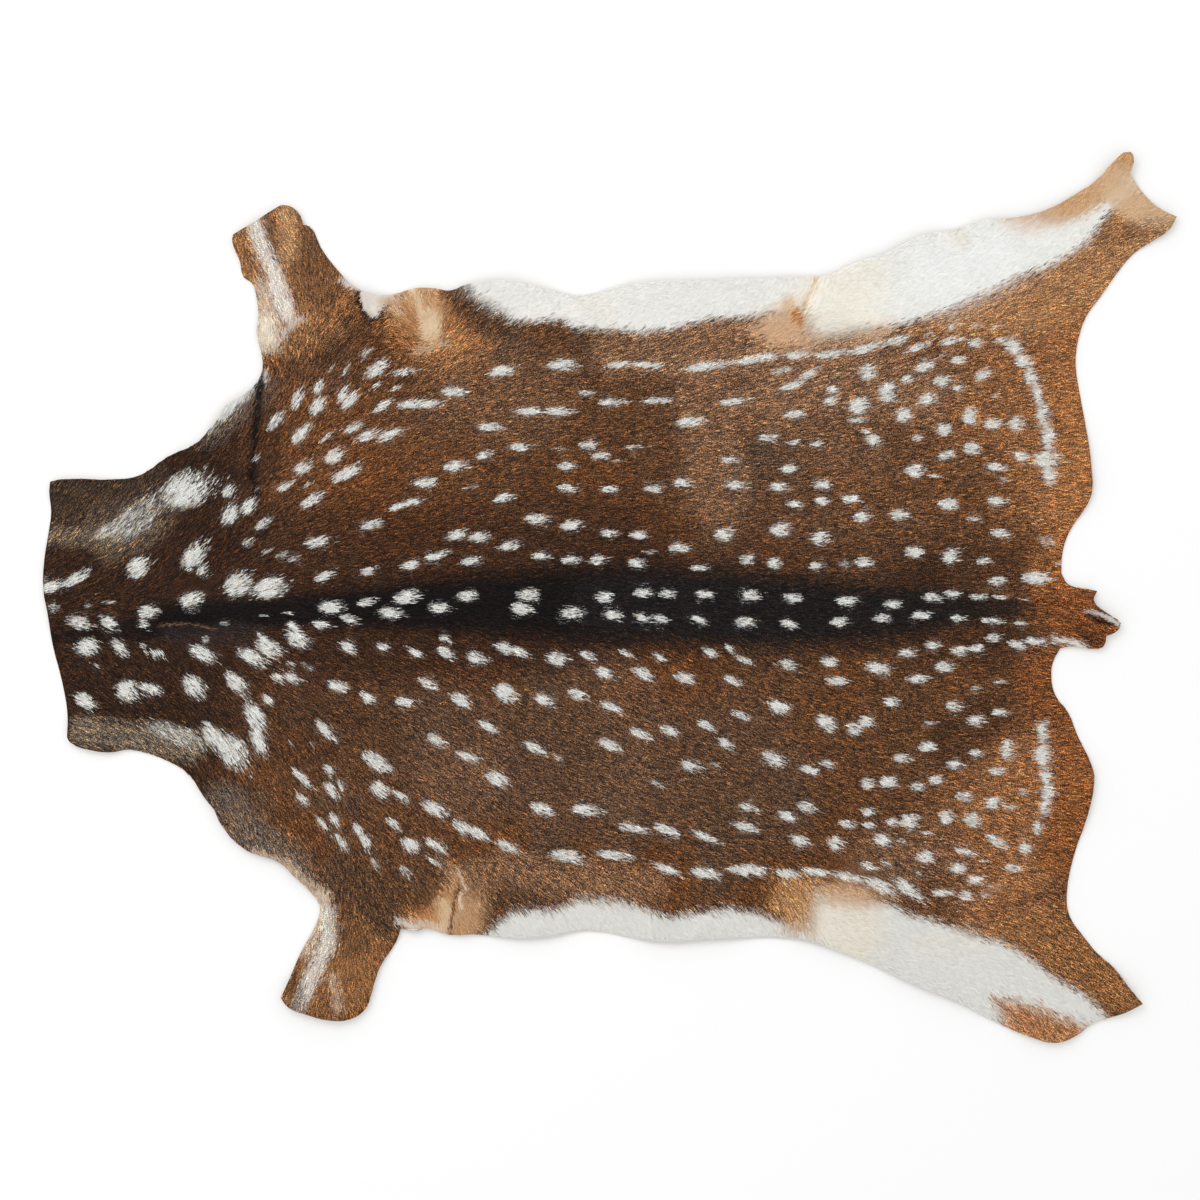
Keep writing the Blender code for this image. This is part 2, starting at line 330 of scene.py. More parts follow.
def comb_turns(points):
    """The turn of the hair at each reading, in radians."""
    comb = np.array(COMB, dtype=float)
    turns = np.radians(comb[:, 2])
    across = np.zeros(len(points))
    upward = np.zeros(len(points))
    for (right, down, _), turn in zip(comb, turns):
        away = (points[:, 0] - right) ** 2 + (points[:, 1] - down) ** 2
        weight = 1.0 / (away + STROKE_REACH ** 2) ** 2
        across += weight * math.cos(turn)
        upward += weight * math.sin(turn)
    return np.arctan2(upward, across)


print("comb strokes:", len(COMB))

# %% [markdown]
# Colour is painted on the coat as a furrier would name it, from the broad ground
# colours to the lines and spots. Each paint is a named colour with a shape: a patch
# with a soft border, or a stroke along a path. Every lock of hair looks up its own
# colour, so a border between two colours is drawn by the hair itself.

# %% The palette
# Display values, red, green and blue, as the eye reads them.
PALETTE = {
    "coat brown": (100, 68, 43),
    "warm brown": (106, 67, 36),
    "cool brown": (96, 71, 52),
    "lit brown": (142, 107, 80),
    "rust": (128, 80, 42),
    "rump brown": (158, 110, 72),
    "rump orange": (180, 120, 72),
    "deep orange": (138, 84, 44),
    "dark brown": (56, 34, 20),
    "neck brown": (51, 32, 20),
    "neck grey": (70, 56, 45),
    "neck haze": (118, 104, 92),
    "neck tan": (124, 110, 95),
    "back black": (14, 9, 8),
    # Painted sheen: the black of the back line, greyed where light glances off it.
    "sheen grey black": (26, 22, 21),
    # Painted shade: the black in the neck slit and the shoulder crease.
    "black slit shade": (14, 10, 9),
    "slit tan": (108, 82, 58),
    "slit sheen": (54, 47, 47),
    "belly white": (243, 242, 236),
    "thigh white": (250, 250, 246),
    # Painted shade: the belly white, darker along the lower edge, away from the light.
    "white in painted shade": (227, 226, 220),
    "cream": (250, 244, 229),
    "lower cream": (236, 228, 212),
    "pale peach": (238, 214, 188),
    "peach": (222, 180, 142),
    "flank orange": (190, 142, 96),
    "groin orange": (232, 196, 150),
    "groin core": (186, 122, 70),
    "leg tan": (216, 170, 122),
    "hock tan": (230, 194, 154),
    "thigh brown": (180, 132, 91),
    "lower thigh": (150, 105, 66),
    "foreleg tan": (170, 122, 82),
    "foreleg brown": (150, 105, 66),
    "foreleg dark": (92, 66, 46),
    "armpit orange": (180, 124, 78),
    "armpit tan": (208, 164, 122),
    "armpit cream": (236, 208, 172),
    "elbow orange": (206, 146, 92),
    "elbow cream": (240, 228, 208),
    "leg pink": (216, 192, 168),
    "leg stripe": (230, 224, 215),
    "flap white": (226, 218, 210),
    "grey brown": (98, 76, 60),
    # Painted shadow in the creases and under the edge of the flap.
    "painted crease shadow": (40, 26, 18),
    # Painted shade in the lower elbow crease.
    "brown crease shade": (112, 66, 36),
    "tail brown": (132, 78, 42),
    "tail lip": (206, 204, 200),
    # Painted shadow in the tail's hollow and along its roll.
    "tail shadow": (44, 28, 20),
    "spot white": (226, 226, 220),
}


def linear(name):
    """A palette colour as the light that it gives back."""
    value = np.array(PALETTE[name]) / 255.0
    return np.where(value <= 0.04045, value / 12.92, ((value + 0.055) / 1.055) ** 2.4)


print("palette:", len(PALETTE), "colours")

# %% [markdown]
# Patches are closed outlines, read off the coat where one colour gives way to
# another. They run past the cut edge where the colour reaches it.

# %% The patches of colour
# Columns: colour, border softness, strength, outline.
PATCHES = [
    ("neck brown", 45, 0.95, [(20, 440), (205, 380), (258, 420), (262, 520), (245, 612),
        (250, 720), (225, 800), (20, 800)]),
    ("rump brown", 60, 0.85, [(960, 300), (1130, 250), (1130, 960), (980, 960), (950, 800),
        (985, 680), (985, 540), (940, 400)]),
    ("thigh brown", 16, 0.95, [(900, 330), (960, 304), (1000, 286), (1060, 256), (1100, 222),
        (1140, 185), (1190, 210), (1120, 330), (1010, 335), (940, 338)]),
    ("lower thigh", 24, 0.9, [(960, 925), (1020, 905), (1070, 890), (1160, 1000), (1110, 1030),
        (1060, 985), (1000, 945)]),
    ("foreleg tan", 14, 0.95, [(225, 235), (285, 200), (306, 222), (300, 260), (310, 300),
        (340, 330), (300, 356), (258, 360), (246, 300)]),
    ("foreleg brown", 16, 0.9, [(300, 220), (330, 240), (362, 285), (356, 312), (330, 330),
        (308, 300), (300, 260)]),
    ("foreleg brown", 16, 0.95, [(322, 905), (400, 925), (372, 1020), (300, 1025), (276, 1000),
        (296, 950)]),
    ("armpit orange", 20, 0.95, [(384, 285), (448, 280), (456, 312), (490, 345), (470, 366),
        (425, 366), (398, 348), (384, 322)]),
    ("armpit tan", 9, 0.9, [(392, 300), (400, 285), (438, 280), (442, 300), (441, 330),
        (430, 341), (418, 332), (410, 316), (398, 320)]),
    ("elbow orange", 9, 0.9, [(404, 916), (430, 908), (446, 890), (454, 890), (454, 945),
        (404, 940)]),
    ("armpit tan", 12, 0.9, [(450, 868), (472, 874), (486, 905), (480, 945), (450, 945)]),
    ("belly white", 4.5, 1.0, [(455, 262), (458, 288), (466, 296), (476, 303), (490, 314),
        (508, 321), (540, 321), (560, 320), (580, 328), (606, 329), (640, 332), (676, 329),
        (694, 322), (712, 318), (750, 318), (790, 308), (840, 316), (884, 331), (920, 319),
        (944, 310), (966, 301), (1000, 286), (1020, 276), (1044, 268), (1066, 257), (1086, 243),
        (1098, 229), (1108, 214), (1120, 203), (1139, 190), (1133, 168), (1100, 150),
        (900, 200), (600, 250)]),
    ("cream", 18, 0.95, [(806, 262), (880, 262), (900, 292), (878, 332), (840, 347), (812, 342),
        (800, 318)]),
    ("pale peach", 10, 0.7, [(760, 314), (776, 304), (790, 296), (804, 302), (804, 330),
        (800, 340), (770, 336)]),
    ("peach", 9, 0.9, [(744, 326), (770, 318), (790, 314), (804, 322), (808, 334), (830, 341),
        (856, 336), (886, 324), (896, 330), (868, 345), (824, 353), (770, 348)]),
    ("leg pink", 5, 0.85, [(368, 286), (386, 290), (398, 290), (405, 300), (402, 312),
        (386, 310), (378, 306)]),
    ("flap white", 1.6, 0.95, [(360, 286), (372, 289), (386, 292), (388, 302), (382, 309),
        (379, 316), (374, 319), (369, 316), (364, 310), (361, 301)]),
    ("leg tan", 7, 0.95, [(990, 212), (1010, 240), (1030, 238), (1050, 231), (1066, 225),
        (1082, 216), (1094, 208), (1106, 199), (1118, 187), (1128, 175), (1142, 158),
        (1128, 140), (1070, 180)]),
    ("thigh white", 24, 0.9, [(880, 300), (915, 240), (1000, 215), (1070, 232), (1010, 276),
        (950, 306)]),
    # The lower belly edge, white in painted shade: darker, away from the light.
    ("white in painted shade", 4.5, 1.0, [(482, 950), (487, 934), (500, 922), (512, 913), (534, 910),
        (556, 911), (566, 905), (580, 899), (602, 898), (624, 902), (648, 910), (670, 917),
        (694, 913), (728, 909), (762, 914), (784, 922), (812, 905), (860, 896), (888, 902),
        (910, 915), (932, 920), (952, 927), (970, 936), (1000, 942), (1020, 952), (1042, 967),
        (1056, 978), (1076, 990), (1092, 1002), (1106, 1015), (1110, 1050), (1000, 1050),
        (700, 960)]),
    ("flank orange", 12, 0.95, [(776, 884), (800, 878), (850, 882), (890, 898), (880, 904),
        (846, 906), (820, 912), (816, 935), (790, 930), (770, 906)]),
    ("lower cream", 16, 0.9, [(818, 896), (850, 898), (884, 912), (880, 940), (862, 965),
        (826, 950), (814, 930)]),
    ("rump orange", 8, 0.95, [(996, 1000), (1020, 1004), (1044, 1009), (1060, 1016),
        (1086, 1028), (1080, 1050), (1030, 1050), (1006, 1030)]),
    ("tail brown", 10, 0.9, [(1056, 578), (1100, 585), (1130, 625), (1100, 655), (1062, 640)]),
]


def depth_in_patch(points, outline):
    """Distance of each reading inside a closed outline, below 0 outside."""
    closed = np.array(list(outline) + [outline[0]], dtype=float)
    away = distance_to_path(points, closed)[0]
    inside = np.zeros(len(points), dtype=bool)
    for (x0, y0), (x1, y1) in zip(closed[:-1], closed[1:]):
        if y0 != y1:
            spans = (y0 > points[:, 1]) != (y1 > points[:, 1])
            inside ^= spans & (points[:, 0] < x0 + (points[:, 1] - y0) / (y1 - y0) * (x1 - x0))
    return np.where(inside, away, -away)


print("patches:", len(PATCHES))

# %% [markdown]
# Washes are wide and faint, and lie under the patches. Tones lie over them: the
# brown darkens beside the back line, goes greyer on the lower side, paler on the
# flanks and orange round the rump.

# %% The washes and tones
# Columns: colour, half width at the start and at the end, softness, strength, path.
WASHES = [
    ("rust", 50, 60, 70, 0.3, [(330, 430), (400, 500), (380, 560)]),
    ("cool brown", 30, 40, 50, 0.4, [(340, 700), (400, 740), (470, 760)]),
    ("lit brown", 14, 18, 30, 0.75, [(703, 372), (712, 430), (720, 490)]),
    ("lit brown", 8, 14, 24, 0.25, [(560, 640), (640, 690), (620, 800)]),
    ("lit brown", 12, 16, 28, 0.85, [(620, 350), (700, 345), (790, 350)]),
    ("lit brown", 30, 30, 50, 0.15, [(820, 420), (880, 480), (880, 540)]),
]
TONES = [
    ("grey brown", 44, 40, 50, 0.5, [(470, 752), (600, 768), (730, 764)]),
    ("grey brown", 20, 24, 50, 0.4, [(780, 470), (790, 500)]),
    ("dark brown", 16, 18, 50, 0.25, [(340, 690), (380, 705)]),
    ("dark brown", 42, 40, 80, 0.76, [(250, 590), (420, 582), (600, 576)]),
    ("dark brown", 14, 14, 44, 0.35, [(286, 722), (306, 736)]),
    ("dark brown", 30, 24, 50, 0.7, [(260, 622), (420, 624), (560, 622)]),
    ("dark brown", 22, 24, 56, 0.5, [(600, 598), (760, 600), (900, 598)]),
    ("dark brown", 32, 34, 52, 0.66, [(940, 606), (1000, 602), (1050, 594)]),
    ("dark brown", 14, 14, 30, 0.62, [(956, 744), (978, 722)]),
    ("dark brown", 10, 10, 26, 0.45, [(1042, 566), (1048, 548)]),
    ("dark brown", 12, 12, 40, 0.22, [(300, 350), (400, 352)]),
    ("dark brown", 18, 22, 36, 0.62, [(1000, 650), (1022, 696)]),
    ("dark brown", 14, 14, 40, 0.35, [(985, 478), (992, 540)]),
    ("lit brown", 12, 14, 40, 0.95, [(770, 398), (812, 386), (852, 372), (920, 388)]),
    ("lit brown", 8, 8, 20, 0.75, [(474, 880), (504, 868), (560, 880), (650, 886)]),
    ("lit brown", 14, 14, 34, 0.5, [(880, 862), (930, 848)]),
    ("lit brown", 18, 20, 50, 0.4, [(470, 390), (524, 396)]),
    ("lit brown", 12, 14, 36, 0.7, [(842, 372), (856, 380)]),
    ("neck haze", 6, 8, 20, 0.5, [(246, 836), (270, 852)]),
    ("lit brown", 12, 12, 40, 0.3, [(448, 776), (470, 784)]),
    ("lit brown", 12, 12, 40, 0.3, [(832, 446), (856, 452)]),
    ("rump orange", 14, 18, 26, 0.6, [(1084, 330), (1082, 400), (1090, 470), (1075, 530),
        (1062, 566)]),
    ("deep orange", 18, 22, 30, 0.75, [(1052, 680), (1078, 740), (1085, 800), (1074, 860)]),
    ("deep orange", 20, 24, 26, 0.7, [(1062, 600), (1074, 602), (1085, 606)]),
    ("rump brown", 10, 10, 20, 0.9, [(985, 905), (1010, 900), (1036, 888)]),
]
print("washes:", len(WASHES), "and tones:", len(TONES))

# %% [markdown]
# Strokes come last and are narrow: the pale stripe down each foreleg, the rim of
# pale hair on the neck, the light and shadow of each crease, and the pale line of
# the haunch.

# %% The strokes of colour
# The columns are those of the washes.
STROKES = [
    ("neck grey", 18, 18, 22, 0.8, [(56, 492), (90, 512), (150, 490)]),
    ("neck tan", 4, 7, 9, 0.7, [(50, 536), (84, 537), (118, 534)]),
    ("neck tan", 8, 9, 12, 0.95, [(84, 731), (130, 737), (190, 747)]),
    ("neck haze", 10, 12, 16, 0.3, [(104, 522), (140, 516), (156, 516)]),
    ("neck tan", 8, 6, 14, 0.4, [(112, 548), (134, 540), (150, 530)]),
    ("neck haze", 10, 13, 18, 0.6, [(208, 426), (232, 404), (256, 390)]),
    ("belly white", 7, 3, 7, 0.85, [(206, 420), (226, 404), (246, 391), (261, 378)]),
    ("neck haze", 10, 12, 18, 0.6, [(226, 804), (254, 838), (290, 864)]),
    ("leg pink", 3, 5, 8, 0.75, [(256, 857), (284, 866), (304, 884), (320, 900)]),
    # Painted shadow beside the shoulder crease.
    ("painted crease shadow", 7, 8, 12, 0.4, [(258, 396), (270, 430), (266, 470)]),
    # Painted shade in the neck slit, then a painted sheen on the lip below it.
    ("black slit shade", 7, 7, 10, 0.9, [(168, 615), (206, 613), (244, 612)]),
    ("slit sheen", 5, 6, 9, 0.5, [(172, 633), (206, 635), (246, 632)]),
    ("slit tan", 0.5, 0.3, 1.4, 0.8, [(160, 626), (175, 624), (190, 623.5), (203, 626),
        (214, 630)]),
    # Painted shadow in the shoulder crease.
    ("black slit shade", 1.8, 1.6, 3.0, 0.95, [(262, 377), (259, 404), (255, 440), (252, 474),
        (256, 492)]),
    ("foreleg dark", 8, 10, 14, 0.5, [(304, 238), (314, 262), (322, 290)]),
    ("foreleg dark", 4, 5, 6, 0.65, [(270, 222), (273, 238), (277, 258)]),
    ("foreleg dark", 4, 2, 6, 0.45, [(290, 262), (294, 274), (298, 300)]),
    ("leg tan", 5, 6, 8, 0.5, [(288, 213), (290, 232), (287, 252)]),
    ("leg pink", 4, 8, 7, 0.85, [(262, 282), (265, 298), (267, 318)]),
    ("leg stripe", 4.5, 6.5, 5.5, 0.82, [(254, 222), (259, 240), (266, 255), (273, 270),
        (278, 284), (281, 298), (286, 312)]),
    ("elbow cream", 5, 6, 14, 0.85, [(266, 326), (267, 338)]),
    ("leg stripe", 1.5, 1.2, 4, 0.6, [(284, 334), (292, 324), (301, 318)]),
    ("foreleg dark", 1.5, 1.5, 4, 0.5, [(246, 250), (254, 264), (264, 278)]),
    # Painted shadow in a small crease.
    ("painted crease shadow", 0.8, 0.8, 2.5, 0.6, [(318, 361), (330, 354), (342, 348)]),
    ("flap white", 2, 2, 3, 0.9, [(344, 280), (354, 286), (364, 291)]),
    ("elbow cream", 1.4, 1.4, 2.0, 0.7, [(373, 308), (375, 313)]),
    # Painted shadow under the edge of the flap.
    ("painted crease shadow", 0.9, 0.9, 1.6, 0.95, [(359, 292), (359, 302), (363, 312), (369, 319),
        (376, 320), (380, 318)]),
    # Painted shadow beside the flap.
    ("painted crease shadow", 0.6, 1.0, 3.0, 0.5, [(386, 308), (382, 314), (381, 322)]),
    ("armpit tan", 3, 4, 8, 0.6, [(386, 300), (396, 303), (404, 308)]),
    ("flap white", 1.5, 1.2, 4, 0.6, [(380, 295), (390, 296), (398, 299)]),
    ("armpit orange", 2, 2, 5, 0.6, [(400, 298), (406, 308), (416, 322)]),
    ("armpit cream", 1.4, 1.8, 4, 0.8, [(412, 290), (419, 300), (422, 314), (427, 328)]),
    ("armpit cream", 4, 5, 8, 0.95, [(432, 318), (431, 332)]),
    ("armpit cream", 1.5, 1.5, 5, 0.5, [(420, 352), (434, 346), (446, 342)]),
    ("foreleg dark", 6, 8, 14, 0.8, [(456, 290), (464, 302), (478, 314), (496, 324)]),
    ("groin orange", 0.8, 0.4, 3.5, 0.7, [(801, 312), (808, 296), (814, 284), (816, 276)]),
    ("groin orange", 2.0, 2.0, 8, 0.7, [(788, 304), (794, 312), (799, 318)]),
    ("groin core", 1.6, 1.6, 5.5, 0.9, [(797, 314), (800, 320)]),
    # Painted shade in the thigh trough and the belly trough.
    ("lower cream", 5, 6, 10, 0.35, [(956, 230), (960, 240)]),
    ("lower cream", 8, 8, 12, 0.3, [(586, 298), (604, 312)]),
    ("hock tan", 12, 10, 12, 0.85, [(1118, 186), (1136, 206), (1160, 214)]),
    ("foreleg dark", 3, 3, 12, 0.35, [(1100, 240), (1132, 232), (1160, 226)]),
    ("lower cream", 2, 3, 6, 0.6, [(412, 926), (424, 926), (438, 930)]),
    ("armpit cream", 2, 5, 7, 0.7, [(444, 904), (447, 916), (444, 930)]),
    # Painted highlights along the lower elbow ridge, and painted shade in its crease.
    ("elbow cream", 0.3, 0.3, 1.4, 0.6, [(458, 868), (463, 882), (467, 890)]),
    ("elbow cream", 0.5, 0.3, 1.8, 0.6, [(461, 893), (460, 900), (462, 912)]),
    ("brown crease shade", 0.5, 0.7, 1.6, 0.95, [(459, 888), (455, 903), (452, 918), (451, 936)]),
    ("foreleg dark", 12, 10, 16, 0.9, [(350, 872), (372, 896), (386, 922)]),
    ("foreleg dark", 3, 3, 8, 0.5, [(400, 880), (396, 910), (392, 930)]),
    ("leg pink", 6, 5, 6, 0.9, [(322, 898), (318, 925), (304, 950)]),
    ("leg stripe", 6, 5, 6, 0.78, [(329, 915), (328, 942), (318, 964), (309, 984),
        (300, 1004)]),
    ("leg pink", 2, 2.5, 4, 0.55, [(333, 976), (336, 992), (338, 1010)]),
    ("foreleg dark", 3, 4, 8, 0.5, [(288, 976), (296, 990), (300, 1004)]),
    ("foreleg dark", 8, 6, 14, 0.55, [(346, 920), (354, 936), (358, 946)]),
    ("flap white", 2, 2, 3, 0.8, [(398, 922), (406, 924), (414, 928)]),
    # Painted shade in the lower flank crease.
    ("lower cream", 4, 8, 12, 0.3, [(918, 944), (948, 948), (968, 940)]),
    # Painted shadow in the lower thigh crease.
    ("painted crease shadow", 1.0, 2.0, 4, 0.3, [(985, 916), (1012, 906), (1046, 894)]),
    # Painted shade where the lower thigh crease runs out to the edge.
    ("foreleg dark", 4, 6, 10, 0.5, [(1040, 894), (1056, 890), (1068, 884)]),
    # Painted shadow in the tail's hollow.
    ("tail shadow", 1.8, 2.2, 2.4, 0.9, [(1087, 615), (1097, 620), (1108, 623)]),
    ("tail lip", 0.9, 1.4, 1.4, 0.95, [(1086, 611), (1096, 613.5), (1106, 617), (1118, 625)]),
    ("flap white", 2.4, 2.0, 3, 1.0, [(1056, 640), (1068, 642), (1082, 646)]),
    # Painted shadow along the tail's lower roll.
    ("tail shadow", 1.0, 3, 7, 0.5, [(1078, 630), (1096, 641)]),
    ("peach", 5, 7, 10, 0.5, [(838, 896), (860, 898)]),
    ("spot white", 1.6, 2.6, 3.5, 0.75, [(1014, 344), (1028, 366), (1038, 392), (1046, 424),
        (1050, 452), (1050, 480)]),
    ("spot white", 1.6, 2.2, 3.5, 0.7, [(1043, 724), (1044, 752), (1048, 784), (1045, 812)]),
]

print("strokes:", len(STROKES))

# %% [markdown]
# The black line of the back widens from the neck to the loin and thins out at the
# tail. It fades across its edge, and towards the tail a painted sheen turns it from
# brown black to grey black.

# %% The line of the back
# Columns: right, middle down, reach above, reach below, strength.
BACK_LINE = [
    (40, 640, 6, 6, 0.4), (90, 636, 10, 9, 0.6), (150, 628, 14, 11, 0.85),
    (240, 618, 16, 13, 0.95), (300, 612, 18, 15, 0.95), (360, 609, 21, 18, 1.0),
    (420, 607, 27, 23, 1.0), (480, 606, 33, 28, 1.0), (560, 605, 38, 36, 1.0),
    (620, 604, 40, 42, 1.0), (720, 605, 38, 45, 1.0), (800, 607, 32, 44, 1.0),
    (870, 609, 25, 36, 0.97), (930, 609, 19, 22, 0.95), (980, 607, 13, 13, 0.9),
    (1015, 608, 9, 11, 0.75), (1040, 609, 7, 9, 0.35), (1075, 612, 6, 6, 0.1),
]
BACK_FADE = (0.55, 1.45)
BACK_FRAY = 0.12
FRONT_TO_REAR = (560.0, 860.0)
LEAST_LEFT = 0.01
print("back line from", BACK_LINE[0][0], "to", BACK_LINE[-1][0])

# %% [markdown]
# The spots are charted one by one, as they are on the animal: rows along the back,
# looser rows on the flanks, a broken stripe low on each side, and small ones on the
# rump. A spot is white hair in brown, drawn out along the way the hair lies.

# %% The chart of spots
# Columns: right, down, length, width, and the turn in degrees.
NECK_SPOTS = [
    (186, 490, 48, 36, 20), (229, 491, 14, 11, 50), (231, 514, 22, 15, 60),
    (249, 506, 18, 13, 55), (77, 578, 30, 11, 30), (52, 587, 20, 12, 20),
    (139, 567, 24, 20, 45), (194, 556, 30, 20, 55), (202, 570, 12, 8, 50),
    (238, 584, 28, 24, 30), (270, 588, 34, 22, 15), (192, 599, 24, 14, 20),
    (80, 623, 22, 13, -15), (110, 623, 20, 12, -30), (148, 612, 20, 14, 0),
    (145, 624, 12, 8, -45), (88, 647, 22, 18, 0), (121, 648, 20, 10, -50),
    (145, 649, 14, 5, -65), (155, 654, 10, 6, -60), (162, 654, 10, 6, -60),
    (203, 654, 28, 14, -30), (252, 657, 30, 14, -30), (269, 648, 28, 18, -30),
    (262, 636, 14, 4, -45), (195, 687, 26, 20, -45), (236, 683, 28, 15, -50),
    (128, 691, 22, 22, -20), (151, 689, 24, 11, -15), (85, 701, 22, 14, -30),
    (215, 738, 34, 18, -50), (234, 752, 38, 28, -58), (256, 718, 34, 18, -62),
    (259, 742, 28, 14, -65), (268, 700, 13, 8, -35), (264, 523, 19, 9, 38),
]
SHOULDER_SPOTS = [
    (297, 400, 21, 10, 65), (319, 387, 16, 10, 55), (318, 406, 20, 14, 45),
    (276, 421, 22, 10, 50), (343, 394, 20, 8, 60), (350, 401, 22, 11, 45),
    (383, 406, 22, 9, 35), (410, 404, 22, 10, 10), (430, 404, 24, 8, 5), (377, 369, 25, 13, 35),
    (403, 372, 24, 8, 5), (376, 386, 15, 5, 45), (396, 388, 12, 4, 25), (301, 434, 24, 11, 45),
    (327, 437, 17, 4, 38), (353, 428, 20, 9, 20), (368, 436, 26, 10, 22), (390, 435, 26, 9, 25),
    (334, 456, 20, 14, 40), (303, 468, 20, 12, 35), (347, 473, 33, 12, 28),
    (286, 486, 17, 7, 28), (312, 500, 27, 10, 33), (398, 507, 20, 7, 15), (413, 502, 16, 8, 15),
    (425, 483, 22, 10, 5), (318, 542, 24, 11, 15), (372, 525, 22, 9, 12), (437, 556, 24, 8, 18),
    (411, 565, 18, 8, 10), (369, 571, 18, 9, 15), (325, 576, 22, 9, 25),
    (349, 648, 18, 10, -35), (384, 647, 16, 8, -20), (415, 652, 18, 7, -25),
    (446, 653, 18, 11, -35), (446, 639, 12, 7, -20), (278, 678, 14, 7, -30),
    (292, 678, 16, 9, -25), (337, 686, 20, 11, -20), (427, 684, 19, 9, -30),
    (368, 698, 16, 9, -35), (405, 702, 21, 9, -5), (326, 731, 25, 10, -48),
    (436, 740, 19, 11, -25), (377, 762, 32, 15, -33), (329, 770, 15, 8, -55),
    (302, 778, 24, 9, -42), (341, 786, 12, 4, -70), (332, 791, 20, 10, -55),
    (380, 790, 20, 15, -40), (401, 796, 19, 6, -30), (435, 809, 26, 13, -25),
    (303, 800, 17, 7, -45), (393, 823, 17, 8, -42), (335, 820, 18, 8, -58),
    (323, 824, 19, 5, -50), (358, 830, 18, 8, -60), (366, 842, 16, 9, -65),
    (342, 842, 21, 7, -55), (412, 846, 22, 14, -25), (436, 846, 22, 9, -28),
    (434, 862, 18, 4, -35),
]
BACK_SPOTS = [
    (331, 607, 26, 12, 0), (368, 602, 22, 8, 8), (407, 597, 26, 14, 12), (391, 613, 24, 12, 0),
    (440, 608, 22, 10, 0), (350, 619, 18, 9, -20), (322, 625, 18, 8, -10),
    (298, 639, 24, 18, -30), (294, 626, 14, 7, -25), (467, 596, 20, 11, 0),
    (528, 595, 20, 13, 0), (522, 609, 21, 12, -10), (572, 613, 19, 11, 0),
    (605, 597, 18, 12, 0), (613, 615, 19, 9, -10), (643, 593, 18, 9, 0), (643, 618, 15, 8, -20),
    (661, 619, 16, 8, -15), (667, 594, 16, 8, 0), (705, 594, 18, 8, 0), (700, 620, 16, 8, -20),
    (752, 595, 19, 10, 0), (745, 622, 20, 11, 0), (792, 598, 17, 10, 0), (790, 624, 17, 9, -15),
    (847, 601, 21, 10, 0), (893, 604, 18, 9, 0), (932, 597, 19, 9, 0), (953, 594, 16, 7, 0),
    (978, 597, 16, 7, 0), (1000, 597, 13, 5, 0), (840, 622, 19, 10, 0), (882, 618, 17, 9, 0),
    (922, 615, 17, 9, 0), (958, 618, 16, 8, 0), (993, 621, 25, 6, -8), (1021, 623, 13, 4, 0),
    (993, 638, 15, 9, 0), (1035, 641, 20, 9, -10), (1017, 645, 16, 9, -15),
    (933, 645, 15, 8, 0), (960, 651, 16, 11, 0), (976, 648, 14, 8, 0), (907, 653, 16, 9, 0),
]
UPPER_SIDE_SPOTS = [
    (502, 371, 27, 11, 12), (563, 365, 30, 12, 0), (616, 365, 28, 7, 5), (648, 365, 32, 6, -3),
    (706, 366, 46, 10, 8), (756, 359, 50, 9, 8), (782, 371, 19, 7, 15), (455, 392, 26, 9, 0),
    (612, 402, 26, 8, 0), (658, 401, 30, 6, 3), (733, 402, 28, 7, 5), (528, 411, 26, 8, 0),
    (560, 411, 27, 9, 0), (690, 422, 26, 11, 5), (490, 427, 24, 9, 0), (768, 438, 17, 8, 0),
    (519, 447, 22, 8, 0), (588, 445, 18, 8, 0), (485, 455, 18, 8, 15), (601, 456, 18, 7, 0),
    (730, 460, 19, 7, 0), (566, 466, 17, 8, 0), (455, 466, 23, 11, 5), (789, 469, 16, 9, 0),
    (795, 443, 14, 6, 0), (682, 483, 18, 9, 0), (567, 488, 18, 9, 0), (609, 489, 18, 8, 0),
    (653, 489, 18, 8, 0), (736, 485, 20, 9, 0), (779, 487, 20, 9, 0), (505, 498, 21, 9, 12),
    (537, 519, 22, 11, 0), (572, 525, 21, 10, 8), (609, 533, 16, 8, 0), (640, 535, 19, 9, 0),
    (724, 535, 18, 14, 0), (780, 530, 20, 14, 0), (457, 535, 19, 10, 12), (480, 537, 19, 11, 5),
    (510, 546, 21, 9, 12), (680, 548, 20, 9, 0), (541, 556, 17, 8, 0), (471, 561, 21, 8, 15),
    (570, 560, 17, 8, 0), (598, 560, 20, 9, 0), (637, 563, 16, 9, 0), (748, 560, 15, 11, 0),
    (774, 563, 15, 12, 0), (699, 568, 15, 6, 0),
]
